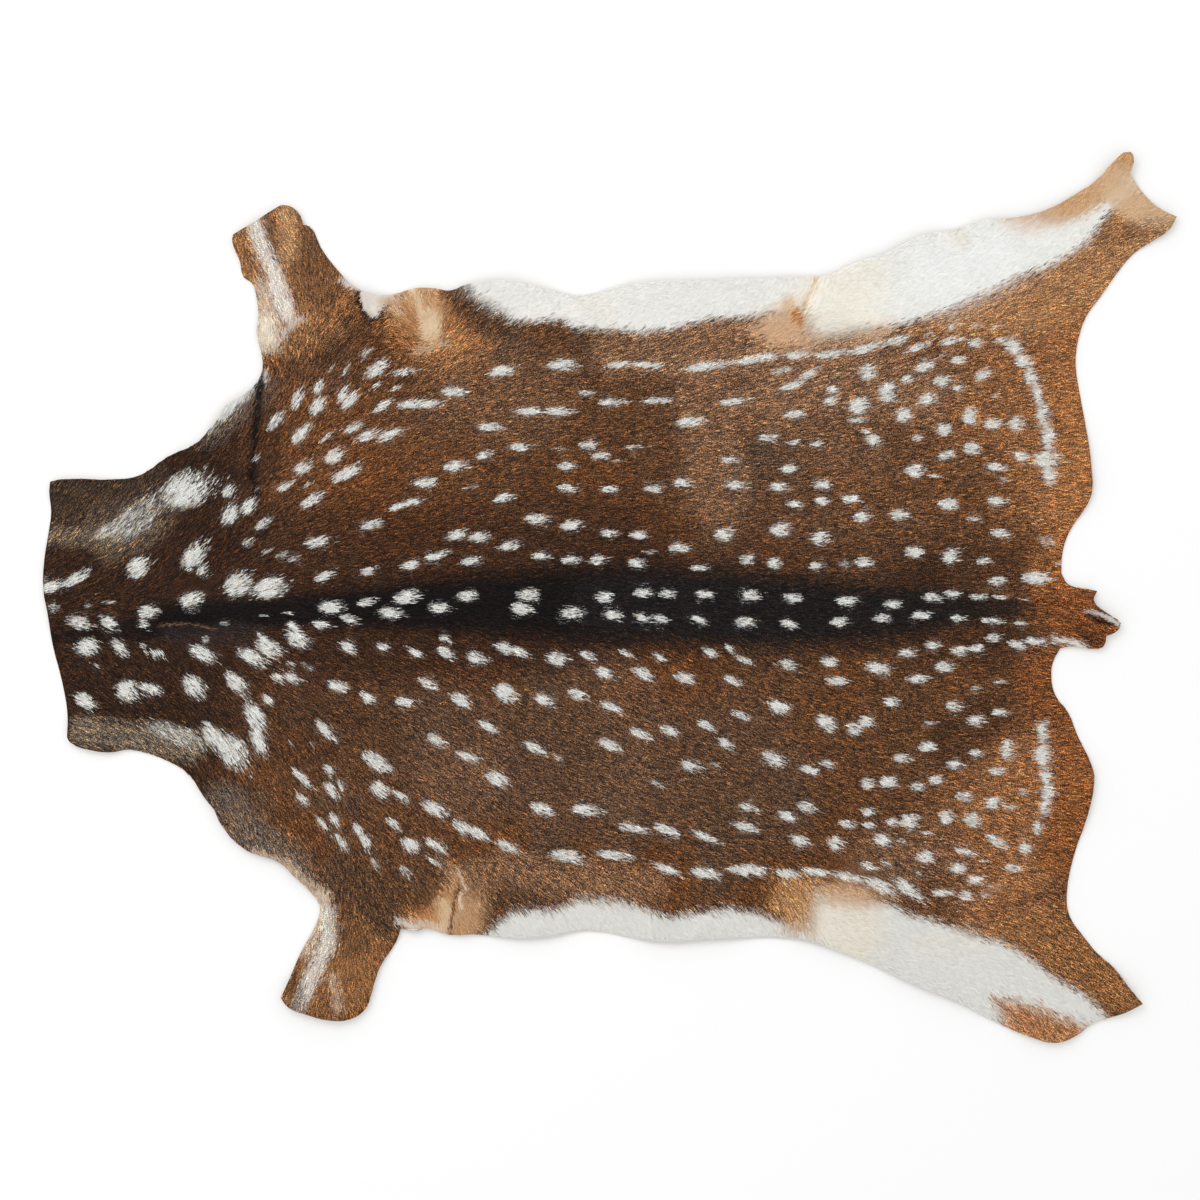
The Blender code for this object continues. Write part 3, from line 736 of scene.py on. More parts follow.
LOWER_SIDE_SPOTS = [
    (477, 658, 21, 12, -20), (504, 648, 18, 11, -25), (521, 652, 19, 9, -25),
    (558, 659, 20, 14, -15), (587, 655, 16, 8, -25), (626, 653, 14, 7, -25),
    (660, 658, 14, 6, -35), (711, 653, 17, 9, -25), (730, 649, 14, 7, -40),
    (744, 660, 17, 7, -20), (788, 665, 19, 10, -15), (605, 673, 20, 10, -20),
    (643, 674, 20, 11, -30), (684, 678, 21, 11, -20), (733, 681, 21, 8, -25),
    (506, 693, 23, 18, -30), (461, 700, 22, 12, -30), (545, 700, 21, 11, -25),
    (579, 695, 21, 12, -20), (611, 707, 19, 8, -25), (740, 715, 21, 8, -20),
    (779, 707, 22, 13, -20), (706, 725, 19, 9, -25), (489, 727, 22, 8, -30),
    (641, 734, 23, 9, -25), (670, 731, 19, 9, -25), (535, 748, 20, 9, -25),
    (469, 757, 24, 8, -22), (497, 779, 24, 13, -33), (610, 745, 23, 10, -25),
    (690, 766, 20, 11, -20), (726, 744, 19, 9, -35), (774, 759, 22, 14, -25),
    (542, 809, 24, 11, -22), (586, 810, 28, 11, -5), (633, 828, 31, 8, -12),
    (667, 830, 28, 9, -20), (706, 837, 30, 7, -22), (748, 807, 19, 7, -20),
    (745, 827, 25, 9, -15), (787, 816, 19, 9, -20), (461, 827, 20, 11, -35),
    (477, 833, 22, 11, -35), (508, 847, 25, 9, -25), (567, 856, 34, 13, -8),
    (613, 855, 37, 9, -8), (668, 870, 27, 9, -25), (705, 873, 30, 11, -8),
    (748, 870, 40, 12, -2), (789, 874, 26, 10, -6), (816, 872, 30, 8, -10),
    (848, 877, 30, 10, -15), (880, 886, 34, 13, -26), (908, 889, 34, 12, -36),
]
UPPER_RUMP_SPOTS = [
    (798, 355, 24, 8, 6), (832, 354, 40, 8, 6), (868, 348, 34, 9, 15), (899, 340, 25, 9, 16),
    (918, 347, 29, 7, 20), (950, 341, 23, 9, 12), (976, 343, 16, 10, 0), (1001, 340, 15, 6, 15),
    (809, 374, 19, 7, 24), (793, 385, 26, 9, 18), (868, 372, 17, 16, 20),
    (925, 366, 20, 12, 26), (958, 360, 16, 8, 0), (942, 381, 18, 11, 0), (982, 375, 18, 11, 26),
    (958, 388, 12, 6, 0), (908, 379, 12, 8, 0), (888, 392, 17, 22, 0), (833, 390, 13, 9, 24),
    (830, 401, 15, 9, 18), (859, 406, 20, 18, 16), (858, 420, 18, 5, 0),
    (874, 440, 18, 11, -10), (865, 431, 9, 5, 0), (904, 415, 14, 16, -10),
    (927, 399, 17, 11, 15), (795, 414, 20, 8, 8), (970, 416, 14, 19, 10), (993, 424, 19, 12, 0),
    (1017, 424, 14, 16, 0), (944, 430, 16, 13, -10), (917, 438, 12, 6, 0),
    (972, 448, 17, 12, 0), (947, 455, 16, 9, 20), (1022, 456, 15, 10, 0), (816, 444, 14, 6, 8),
    (915, 471, 18, 14, -14), (935, 476, 12, 4, 0), (996, 467, 19, 9, -8), (823, 485, 18, 11, 0),
    (795, 504, 15, 8, 0), (822, 501, 14, 9, 0), (851, 499, 16, 9, 0), (949, 504, 21, 12, 0),
    (997, 501, 17, 10, 0), (861, 517, 15, 12, 0), (899, 515, 18, 12, 0), (975, 519, 11, 4, 0),
    (820, 538, 18, 15, 0), (1000, 533, 17, 10, 0), (915, 552, 20, 12, 0), (951, 556, 17, 15, 0),
    (984, 561, 15, 7, 0), (864, 562, 17, 11, 0), (816, 566, 14, 7, 0), (997, 581, 16, 10, 0),
    (1036, 578, 29, 13, 0), (1013, 346, 14, 18, 20), (1024, 361, 16, 13, 16),
    (1031, 378, 14, 14, 0), (1039, 396, 9, 14, 0), (1043, 414, 10, 22, 0),
    (1050, 438, 13, 18, 0), (1046, 460, 28, 18, 0), (1051, 474, 16, 14, 0),
]
LOWER_RUMP_SPOTS = [
    (944, 667, 16, 12, 0), (829, 662, 16, 10, 0), (878, 668, 25, 12, -12),
    (837, 681, 20, 10, 0), (918, 679, 21, 9, 0), (891, 702, 16, 10, 0), (953, 706, 17, 10, 0),
    (1000, 712, 15, 8, 0), (827, 723, 21, 15, -30), (854, 729, 16, 13, 0),
    (867, 722, 16, 12, 0), (976, 721, 17, 12, 0), (928, 747, 19, 10, 0), (976, 753, 16, 8, 0),
    (1008, 750, 14, 22, 0), (902, 758, 16, 9, 0), (810, 770, 18, 9, -20),
    (828, 764, 14, 7, -10), (954, 765, 16, 10, 0), (997, 771, 16, 9, 0), (868, 784, 13, 11, 0),
    (888, 782, 19, 12, 0), (918, 787, 14, 8, 0), (936, 780, 14, 9, 0), (963, 796, 15, 10, 0),
    (993, 803, 17, 13, 0), (1010, 808, 11, 5, 0), (806, 807, 18, 11, -18), (868, 812, 14, 9, 0),
    (847, 824, 15, 9, 0), (869, 825, 13, 7, 0), (893, 822, 13, 9, 0), (910, 821, 19, 16, 0),
    (946, 817, 15, 14, 0), (973, 820, 16, 15, 0), (800, 841, 21, 10, -18),
    (836, 843, 15, 15, -30), (883, 840, 17, 12, -12), (927, 833, 12, 4, -12),
    (996, 841, 22, 10, -30), (1025, 848, 12, 12, -20), (966, 852, 21, 6, -15),
    (983, 861, 12, 4, 0), (926, 857, 18, 12, 0), (959, 868, 18, 11, 0), (1014, 868, 18, 8, -10),
    (868, 866, 14, 8, -20), (976, 880, 17, 10, 0), (967, 896, 14, 9, 0), (942, 893, 23, 8, 4),
    (1042, 730, 10, 18, 0), (1043, 755, 18, 20, 0), (1047, 776, 12, 16, 0),
    (1049, 792, 12, 16, 0), (1045, 806, 10, 12, 0), (1038, 828, 10, 16, 0),
]
FAINT_SPOTS = [
    (136, 519, 54, 30, 45), (110, 529, 36, 14, 30), (109, 602, 12, 5, 0), (90, 606, 8, 4, 0),
    (55, 608, 8, 10, 0), (225, 624, 8, 5, 0), (206, 640, 8, 8, 60), (178, 735, 60, 20, -20),
    (236, 400, 40, 16, 55), (248, 543, 12, 10, 50), (96, 665, 8, 4, -30), (268, 551, 11, 5, 30),
    (283, 555, 14, 7, 20), (294, 559, 13, 6, 20), (256, 458, 8, 6, 60), (258, 489, 9, 3, 45),
    (366, 354, 14, 9, 50), (347, 369, 14, 4, 60), (331, 369, 8, 4, 50), (309, 484, 12, 4, 30),
    (290, 613, 12, 4, 0), (266, 616, 9, 4, -10), (307, 666, 12, 5, -28), (291, 664, 9, 4, -28),
    (314, 745, 11, 4, -60), (291, 744, 8, 3, -50), (376, 866, 16, 6, -60),
    (406, 872, 14, 9, -45), (587, 393, 18, 7, -10), (634, 447, 18, 5, 0), (560, 449, 13, 4, 0),
    (618, 461, 11, 3, 0), (470, 487, 14, 3, 10), (650, 552, 15, 5, 0), (558, 757, 14, 5, -30),
    (714, 765, 12, 4, -20), (656, 783, 17, 6, -20), (929, 334, 14, 5, 20),
    (977, 325, 13, 7, 15), (953, 327, 14, 6, 26), (997, 327, 12, 5, 10), (944, 355, 11, 5, 26),
    (996, 396, 9, 4, 10), (1005, 480, 11, 6, 0), (844, 564, 12, 7, 0), (1047, 541, 14, 12, 0),
    (1059, 564, 12, 6, 0), (1023, 599, 12, 3, 0), (977, 688, 13, 5, 0), (1000, 682, 12, 4, 0),
    (930, 723, 11, 4, 0), (1024, 791, 11, 8, 0), (900, 841, 10, 5, 0), (886, 864, 11, 6, -20),
    (994, 886, 14, 4, 0), (920, 873, 6, 4, -20), (986, 895, 12, 6, -10),
]
SPOT_STRENGTH = 0.96
FAINT_STRENGTH = 0.5
spots = [
    (*row, SPOT_STRENGTH)
    for rows in (NECK_SPOTS, SHOULDER_SPOTS, BACK_SPOTS, UPPER_SIDE_SPOTS, LOWER_SIDE_SPOTS,
                 UPPER_RUMP_SPOTS, LOWER_RUMP_SPOTS)
    for row in rows
]
spots += [(*row, FAINT_STRENGTH) for row in FAINT_SPOTS]
print("spots:", len(spots))

# %% [markdown]
# Two kinds of unevenness make the coat look grown and not printed: broad mottling,
# a few centimetres across, and the speckle of single locks. The mottling is a grid
# of seeded random values, read with a smooth blend.

# %% Mottling
SEED = 11
MAP_READINGS = 1300
SPARE_CELLS = 4

draws = np.random.default_rng(SEED)


def mottle(points, size):
    """Smooth random values from about -1 to 1, with blotches of a size in readings."""
    count = int(MAP_READINGS / size) + SPARE_CELLS
    cells = draws.normal(size=(count, count))
    x, y = points[:, 0] / size + 1, points[:, 1] / size + 1
    i, j = y.astype(int), x.astype(int)
    fy, fx = smooth_step(0, 1, y - i), smooth_step(0, 1, x - j)
    upper = cells[i, j] * (1 - fx) + cells[i, j + 1] * fx
    lower = cells[i + 1, j] * (1 - fx) + cells[i + 1, j + 1] * fx
    return upper * (1 - fy) + lower * fy


print("seed of all random draws:", SEED)

# %% [markdown]
# `paint` lays all of this on in order, with borders that fray a little from lock to
# lock. It also returns how much of each place is spot, because a spot mixes white
# locks with brown ones.

# %% Paint the coat
# Columns: palette name, range of the mottling that brings it in, and its blotch size.
GROUND_MOTTLES = [("warm brown", -0.4, 1.4, 60), ("cool brown", 0.0, 1.6, 42)]
FRAY = 0.6
MOST_PATCH_FRAY = 4
MOST_STROKE_FRAY = 2.5
SPOT_EDGE = (0.72, 1.14)
SPOT_FRAY = 0.26
SIDE_FRAY = 0.08
SPOT_MIX = 0.08
LOCK_SHARE = 0.6


def lay_on(colours, name, amount):
    """Blend a palette colour in by an amount from 0 to 1 for each place."""
    return colours + amount[:, None] * (linear(name) - colours)


def paint_ground(points):
    """The brown ground with its broad mottling."""
    colours = np.tile(linear("coat brown"), (len(points), 1))
    for name, low, high, size in GROUND_MOTTLES:
        colours = lay_on(colours, name, smooth_step(low, high, mottle(points, size)))
    return colours


def paint_patches(points, colours, rough):
    """The patches, with borders made uneven by a little roughness in the readings."""
    for name, softness, strength, outline in PATCHES:
        depth = depth_in_patch(points, outline) + rough * min(FRAY * softness, MOST_PATCH_FRAY)
        colours = lay_on(colours, name, strength * smooth_step(-softness, softness, depth))
    return colours


def paint_strokes(points, colours, rough, strokes):
    """Strokes of colour, each fading out from its path."""
    for name, start_width, end_width, softness, strength, path in strokes:
        away, along = distance_to_path(points, path)
        half_width = start_width + (end_width - start_width) * along
        away += rough * min(FRAY * softness, MOST_STROKE_FRAY)
        amount = 1.0 - smooth_step(0.0, softness, away - half_width)
        colours = lay_on(colours, name, strength * amount)
    return colours


def paint_back_line(points, colours, rough):
    """The black line of the back, with a painted sheen that greys it towards the tail."""
    right, middle, above, below, strength = np.array(BACK_LINE, dtype=float).T
    at = points[:, 0]
    offset = points[:, 1] - np.interp(at, right, middle)
    reach = np.where(offset < 0, np.interp(at, right, above), np.interp(at, right, below))
    amount = 1.0 - smooth_step(*BACK_FADE, np.abs(offset) / reach + BACK_FRAY * rough)
    amount *= np.interp(at, right, strength)
    rear = smooth_step(*FRONT_TO_REAR, at)
    front_amount = amount * (1 - rear)
    # Towards the tail a painted sheen greys the black.
    sheen_amount = amount * rear / np.maximum(1 - front_amount, LEAST_LEFT)
    colours = lay_on(colours, "back black", front_amount)
    return lay_on(colours, "sheen grey black", sheen_amount)


def paint_spots(points, colours, rough, roughness):
    """The spots, and how white each place becomes by them, some locks more than others."""
    order = np.argsort(points[:, 0])
    sorted_right = points[order, 0]
    white = np.zeros(len(points))
    for right, down, length, width, turn, strength in spots:
        low, high = np.searchsorted(sorted_right, (right - length, right + length))
        near = order[low:high]
        offset = points[near] - (right, down)
        cos_turn, sin_turn = math.cos(math.radians(turn)), math.sin(math.radians(turn))
        along = offset[:, 0] * cos_turn - offset[:, 1] * sin_turn
        across = offset[:, 0] * sin_turn + offset[:, 1] * cos_turn
        along = along / (0.5 * length) + SPOT_FRAY * rough[near]
        distance = np.hypot(along, across / (0.5 * width)) + SIDE_FRAY * rough[near]
        white[near] = np.maximum(white[near], strength * (1.0 - smooth_step(*SPOT_EDGE, distance)))
    if roughness > 0:
        chance = draws.uniform(size=len(points))
        single = np.where(chance < (1.0 - SPOT_MIX) * white, 1.0, 0.0)
        white = LOCK_SHARE * single + (1.0 - LOCK_SHARE) * white
    return lay_on(colours, "spot white", white), white


def paint(points, roughness=1.0):
    """Colour of the coat at each reading, and how much of it is spot."""
    rough = roughness * draws.normal(size=len(points))
    colours = paint_ground(points)
    colours = paint_strokes(points, colours, rough, WASHES)
    colours = paint_patches(points, colours, rough)
    colours = paint_strokes(points, colours, rough, TONES)
    colours = paint_back_line(points, colours, rough)
    colours = paint_strokes(points, colours, rough, STROKES)
    return paint_spots(points, colours, rough, roughness)


# %% [markdown]
# The skin is a sheet of tanned leather a little over a millimetre thick. Its outline
# is the cut edge, and its face follows the folds. A Delaunay triangulation fills the
# outline with points about seven millimetres apart, and two in the small creases,
# shaken off their grid so that no rows show. bmesh's solidify gives it thickness.

# %% The skin
SKIN_THICKNESS = 0.0014
LEAST_SKIN_HEIGHT = 0.0016
HAIR_DEPTH = 0.0024
SKIN_SPACING = 0.0072
CREASE_SPACING = 0.0021
RIM_SPACING = 0.0035
WIDE_INSET = 0.6
FINE_INSET = 0.5
SHAKE = 0.4
CREASE_MARGIN = 2.0
JOIN_WITHIN = 0.00005
FILL_INSIDE = 1


def coat_surface(name):
    """An empty mesh object in the scene, at the origin."""
    mesh = bpy.data.meshes.new(name)
    piece = bpy.data.objects.new(name, mesh)
    bpy.context.scene.collection.objects.link(piece)
    return piece


def jittered_places(spacing, inset):
    """Places over the hide in shaken rows, at least an inset inside the cut edge."""
    rows = np.arange(cad_low[1], cad_high[1], spacing * math.sqrt(3) / 2)
    columns = np.arange(cad_low[0], cad_high[0], spacing)
    x, y = np.meshgrid(columns, rows)
    x = x + (np.arange(len(rows)) % 2)[:, None] * spacing / 2
    xy = np.stack([x.ravel(), y.ravel()], axis=1)
    xy += draws.uniform(-SHAKE, SHAKE, size=xy.shape) * spacing
    return xy[read_map(edge_depth, xy) > inset]


def skin_height(xy):
    """Height of the skin's upper face: under the coat, and off the floor."""
    return np.maximum(read_map(coat_height, xy) - HAIR_DEPTH, LEAST_SKIN_HEIGHT)


def in_crease(xy):
    """Which places lie on one of the small creases."""
    found = np.zeros(len(xy), dtype=bool)
    for _name, half_width, _height, path in CREASES:
        found |= distance_to_path(xy, place(path))[0] < (half_width + CREASE_MARGIN) * STEP
    return found


def fill_outline():
    """Triangles that fill the cut edge, as places and corners."""
    places = []
    borders = []
    for start, end in rim_edges:
        count = max(1, round(np.linalg.norm(end - start) / RIM_SPACING))
        first = len(places)
        places += [tuple(start + (end - start) * index / count) for index in range(count + 1)]
        borders += [(first + index, first + index + 1) for index in range(count)]
    wide = jittered_places(SKIN_SPACING, WIDE_INSET * SKIN_SPACING)
    fine = jittered_places(CREASE_SPACING, FINE_INSET * CREASE_SPACING)
    places += [tuple(xy) for xy in wide[~in_crease(wide)]]
    places += [tuple(xy) for xy in fine[in_crease(fine)]]
    corners, _, faces, *_ = delaunay_2d_cdt(places, borders, [], FILL_INSIDE, JOIN_WITHIN)
    return np.array([tuple(corner) for corner in corners]), faces


def make_skin():
    """The leather sheet, with its thickness."""
    xy, faces = fill_outline()
    heights = skin_height(xy)
    bm = bmesh.new()
    verts = [bm.verts.new((x, y, z)) for (x, y), z in zip(xy, heights)]
    for face in faces:
        bm.faces.new([verts[index] for index in face])
    bmesh.ops.recalc_face_normals(bm, faces=bm.faces)
    if sum(face.normal.z for face in bm.faces) < 0:
        bmesh.ops.reverse_faces(bm, faces=bm.faces)
    bmesh.ops.solidify(bm, geom=bm.faces[:], thickness=SKIN_THICKNESS)
    lowest = min(vert.co.z for vert in bm.verts)
    bm.normal_update()
    for face in bm.faces:
        face.material_index = 0 if face.normal.z > UPWARD else 1
    piece = coat_surface("skin")
    bm.to_mesh(piece.data)
    area = sum(face.calc_area() for face in bm.faces if face.material_index == 0)
    bm.free()
    print("skin:", len(piece.data.polygons), "triangles, lowest", round(lowest, 5))
    print("upper face of the skin:", round(area, 4), "m2")
    return piece, area


skin, skin_area = make_skin()

# %% [markdown]
# Hair is modelled as locks: slim closed wedges that lie on the skin like shingles,
# each with a sunk root, a low back and a fine tip. One lock has four triangles, so
# a coat of some two hundred thousand locks has under a million. The locks are worked
# out as arrays and joined, because an object for each would never finish.
#
# First come the rules for length: longer hair at the belly, neck and tail, shorter
# hair round the small creases, and no lock far past the cut edge.

# %% The length of the hair
LOCK_LENGTH = 0.0058
WHITE_LENGTH = 0.0070
LENGTH_FADE = (0.3, 1.3)
TIP_OVERHANG = 0.0008
OVERHANG_SPREAD = (-0.6, 1.0)
TRIALS = 10
LEAST_KEPT = 0.06

# Columns: right, down, reach, and how much longer, below 0 where it is shorter.
LONG_HAIR = [
    (480, 300, 60, 0.15), (600, 300, 90, 0.2), (720, 300, 90, 0.2), (860, 300, 90, 0.2),
    (980, 260, 90, 0.2), (560, 920, 80, 0.2), (700, 930, 90, 0.2), (860, 930, 90, 0.2),
    (980, 970, 90, 0.2), (1070, 610, 45, 0.5), (430, 330, 50, 0.2), (450, 900, 50, 0.2),
    (100, 520, 90, 0.3), (230, 760, 70, 0.4), (235, 420, 50, 0.4), (1050, 460, 60, 0.3),
    (1050, 780, 60, 0.3), (372, 306, 18, -0.5), (462, 892, 14, -0.4), (1104, 618, 14, -0.5),
    (185, 625, 26, -0.5),
]


def longer_share(points):
    """How much longer than the short back hair each lock is."""
    longer = np.zeros(len(points))
    shorter = np.zeros(len(points))
    for right, down, reach, amount in LONG_HAIR:
        away = np.hypot(points[:, 0] - right, points[:, 1] - down) / reach
        share = amount * (1.0 - smooth_step(*LENGTH_FADE, away))
        longer = np.maximum(longer, share)
        shorter = np.minimum(shorter, share)
    return np.where(shorter < 0, shorter, longer)


def trimmed_length(roots, directions, lengths):
    """Shorten each lock that would pass the cut edge."""
    allowed = -TIP_OVERHANG * draws.uniform(*OVERHANG_SPREAD, size=len(roots))
    kept = np.zeros(len(roots))
    reaching = np.ones(len(roots), dtype=bool)
    for share in np.linspace(1.0 / TRIALS, 1.0, TRIALS):
        tips = roots + directions * (lengths * share)[:, None]
        reaching &= read_map(edge_depth, tips) > allowed
        kept = np.where(reaching, share, kept)
    return lengths * np.maximum(kept, LEAST_KEPT)


print("places with longer or shorter hair:", len(LONG_HAIR))

# %% [markdown]
# Roots stand in shaken rows all over the hide. Each lock takes its turn from the
# comb chart and its colour from the paint, read where the lock shows. White hair is
# longer, finer and more even than brown hair.

# %% Where each lock grows
LOCK_SPACING = 0.00186
ROOT_INSET = 0.0004
SHOWN_PART = 0.6
TURN_SPREAD = 0.15
WHITE_TURN_SPREAD = 0.08
LENGTH_SPREAD = (0.75, 1.25)
WHITE_RANGE = (0.3, 0.62)
MOSTLY_WHITE = 0.5


def mix(brown_value, white_value, white):
    """A measure of a lock, between its value for brown and for white hair."""
    return brown_value + (white_value - brown_value) * white


def how_white(colours):
    """0 for brown, orange and black hair, and 1 for white hair."""
    return smooth_step(*WHITE_RANGE, colours.min(axis=1))


roots = jittered_places(LOCK_SPACING, ROOT_INSET)
root_readings = reading(roots)
turns = comb_turns(root_readings)
ahead = np.stack([np.cos(turns), np.sin(turns)], axis=1)
lengths = LOCK_LENGTH * (1.0 + longer_share(root_readings))
lock_colours, in_spot = paint(reading(roots + ahead * (SHOWN_PART * lengths)[:, None]))
whiteness = how_white(lock_colours)

turns += draws.normal(size=len(roots)) * mix(TURN_SPREAD, WHITE_TURN_SPREAD, whiteness)
directions = np.stack([np.cos(turns), np.sin(turns)], axis=1)
lengths *= mix(1.0, WHITE_LENGTH / LOCK_LENGTH, whiteness)
lengths *= draws.uniform(*LENGTH_SPREAD, size=len(roots))
lengths = trimmed_length(roots, directions, lengths)
print("locks:", len(roots), "of them white", int((whiteness > MOSTLY_WHITE).sum()))

# %% [markdown]
# Brown deer hair is banded, so neighbouring locks differ: some end dark, and some
# end bright and orange. White hair hardly varies. `plainness` says how little a
# place is speckled. Three charts correct it: sleek places, ticked places with pale
# tips, and streaked places where white and brown hairs lie side by side.

# %% Speckle
SPECKLE = 0.34
WHITE_SPECKLE = 0.015
SPOT_SPECKLE = 0.13
SPOT_GRAIN = 0.3
DARK_SHARE = 0.26
FIERY_SHARE = 0.2
DARK_TINT = (0.37, 0.4, 0.52)
FIERY_TINT = (1.68, 1.46, 1.08)
ROOT_SHADE = 0.6
WHITE_ROOT_SHADE = 0.96
BROWN_GAIN = 1.33
LIGHTEST = 0.95
BLOTCH_READINGS = 9
CHART_FADE = (0.4, 1.2)

# Brown is speckled fully, tan and peach less, white hardly.
PLAIN_RANGE = (0.09, 0.6)

# The black of the back isn't ticked.
TICKED_RANGE = (0.012, 0.025)

# Columns of the three charts: right, down, reach, and how much.
SLEEK = [
    (424, 312, 34, 0.85), (800, 326, 40, 0.7), (452, 912, 42, 0.85), (850, 902, 50, 0.7),
    (266, 322, 34, 0.7), (318, 930, 22, 0.5), (285, 260, 70, 0.35), (330, 960, 60, 0.35),
    (1075, 210, 60, 0.5), (1140, 212, 30, 0.6), (200, 618, 50, 0.5),
]
TICKED = [
    (90, 510, 90, 0.8), (90, 560, 80, 0.8), (100, 700, 90, 0.6), (200, 560, 70, 0.8),
    (170, 720, 60, 0.6), (1060, 460, 80, 0.3), (1060, 620, 50, 0.4), (1060, 770, 80, 0.3),
    (250, 850, 56, 0.7),
]
STREAKED = [
    (258, 236, 26, 0.5), (268, 262, 26, 0.45), (280, 300, 30, 0.4), (290, 232, 24, 0.3),
    (326, 920, 28, 0.5), (322, 950, 28, 0.5), (306, 990, 30, 0.4), (266, 330, 30, 0.2),
]


def share_near(points, table):
    """How far each reading takes on the amounts of a table of round places."""
    share = np.zeros(len(points))
    for right, down, reach, amount in table:
        away = np.hypot(points[:, 0] - right, points[:, 1] - down) / reach
        share = np.maximum(share, amount * (1.0 - smooth_step(*CHART_FADE, away)))
    return share


lightness = lock_colours.mean(axis=1)
plainness = smooth_step(*PLAIN_RANGE, lightness)
plainness = np.maximum(plainness, share_near(root_readings, SLEEK))
plainness *= 1.0 - share_near(root_readings, STREAKED)
ticked = share_near(root_readings, TICKED) * smooth_step(*TICKED_RANGE, lightness)
spread = mix(SPECKLE, WHITE_SPECKLE, plainness) + SPOT_SPECKLE * in_spot
speckle = np.exp(draws.normal(size=len(roots)) * spread)
speckle *= 1.0 + WHITE_SPECKLE * mottle(root_readings, BLOTCH_READINGS)
chance = draws.uniform(size=len(roots))
fiery = chance > 1.0 - FIERY_SHARE
tints = np.ones((len(roots), 3))
tints[chance < DARK_SHARE] = DARK_TINT
tints[fiery] = FIERY_TINT
tint_share = (1.0 - plainness) * np.where(fiery, 1.0 + ticked, 1.0)
tints = 1.0 + (tints - 1.0) * tint_share[:, None]
tip_colours = lock_colours * tints * (speckle * mix(BROWN_GAIN, 1.0, plainness))[:, None]
tip_colours = np.clip(tip_colours, 0.0, LIGHTEST)
plainness -= SPOT_GRAIN * in_spot * plainness
root_colours = tip_colours * mix(ROOT_SHADE, WHITE_ROOT_SHADE, plainness)[:, None]
print("mean coat colour:", tip_colours.mean(axis=0).round(3))

# %% [markdown]
# Each mesh is filled from arrays. It stores a colour and a plainness at every
# corner, and a UV map that looks straight down. A lock is shaded as part of the
# coat, so its normals come from the slope of the coat, turned a little at random.

# %% Mesh helpers
PICTURE_SIDE = 1.3
PICTURE_MIDDLE = 0.5
SLOPE_REACH = 0.002
STEEPEST = 0.5
LOCK_CORNERS = 4


def write_mesh(mesh, corners, triangles):
    """Fill a mesh from arrays of corners and triangles."""
    mesh.vertices.add(len(corners))
    mesh.vertices.foreach_set("co", corners.astype(np.float32).ravel())
    mesh.loops.add(triangles.size)
    mesh.loops.foreach_set("vertex_index", triangles.astype(np.int32).ravel())
    mesh.polygons.add(len(triangles))
    mesh.polygons.foreach_set("loop_start", np.arange(0, triangles.size, 3, dtype=np.int32))
    mesh.update(calc_edges=True)


def coat_normals(xy):
    """The way the coat faces at each place, from the slope of its height."""
    east, north = [
        read_map(coat_height, xy + step) - read_map(coat_height, xy - step)
        for step in np.eye(2) * SLOPE_REACH
    ]
    span = 2 * SLOPE_REACH
    return np.stack([-east, -north, np.full(len(xy), span)], axis=1) / span


def face_like_coat(mesh, xy, spread):
    """Shade each lock as part of the coat, and not as a wedge."""
    normals = coat_normals(xy)
    normals[:, :2] = np.clip(normals[:, :2], -STEEPEST, STEEPEST)
    normals[:, :2] += draws.normal(size=(len(xy), 2)) * spread[:, None]
    normals /= np.linalg.norm(normals, axis=1)[:, None]
    mesh.shade_smooth()
    mesh.normals_split_custom_set_from_vertices(np.repeat(normals, LOCK_CORNERS, axis=0))


def write_plainness(mesh, values):
    """Store for each corner of a mesh how little it is speckled."""
    layer = mesh.attributes.new("plainness", "FLOAT", "POINT")
    layer.data.foreach_set("value", values.astype(np.float32))


def write_colours(mesh, colours):
    """Store a colour for each corner of a mesh."""
    layer = mesh.attributes.new("coat_colour", "FLOAT_COLOR", "POINT")
    values = np.concatenate([colours, np.ones((len(colours), 1))], axis=1)
    layer.data.foreach_set("color", values.astype(np.float32).ravel())


def write_flat_map(mesh):
    """A UV map that looks straight down on the hide."""
    layer = mesh.uv_layers.new(name="from_above")
    corners = np.empty(len(mesh.vertices) * 3, dtype=np.float32)
    mesh.vertices.foreach_get("co", corners)
    used = np.empty(len(mesh.loops), dtype=np.int32)
    mesh.loops.foreach_get("vertex_index", used)
    uv = corners.reshape(-1, 3)[used, :2] / PICTURE_SIDE + PICTURE_MIDDLE
    layer.data.foreach_set("uv", uv.astype(np.float32).ravel())


print("UV map from above:", PICTURE_SIDE, "m a side")

# %% [markdown]
# A lock is a wedge with a base of two corners in the skin, a low back and a tip just
# over the skin. The back stays above the line from base to tip, so that no lock
# turns inside out in a trough. The brown locks are sorted from neck to tail and
# joined into four pieces. The white ones are a fifth.

# %% Build the locks
LOCK_WIDTH = 0.0015
FINE_WIDTH = 0.0013
WIDTH_SPREAD = (0.8, 1.25)
LOCK_LIFT = 0.0012
WHITE_LIFT = 0.0005
LIFT_SPREAD = (0.3, 1.2)
SHORT_LIFT = 0.3
BACK_LIFT = 0.5
RIDGE = 0.0004
WHITE_RIDGE = 0.00015
BACK_SHARE = 0.3
ROOT_SINK = 0.0002
TIP_CLEARANCE = 0.0003
NORMAL_SPREAD = 0.16
WHITE_NORMAL_SPREAD = 0.05
FOUR_FACES = ((0, 1, 2), (0, 2, 3), (1, 3, 2), (0, 3, 1))
COAT_PARTS = (
    "coat_neck_and_shoulders",
    "coat_fore_body",
    "coat_hind_body",
    "coat_rump_and_tail",
)


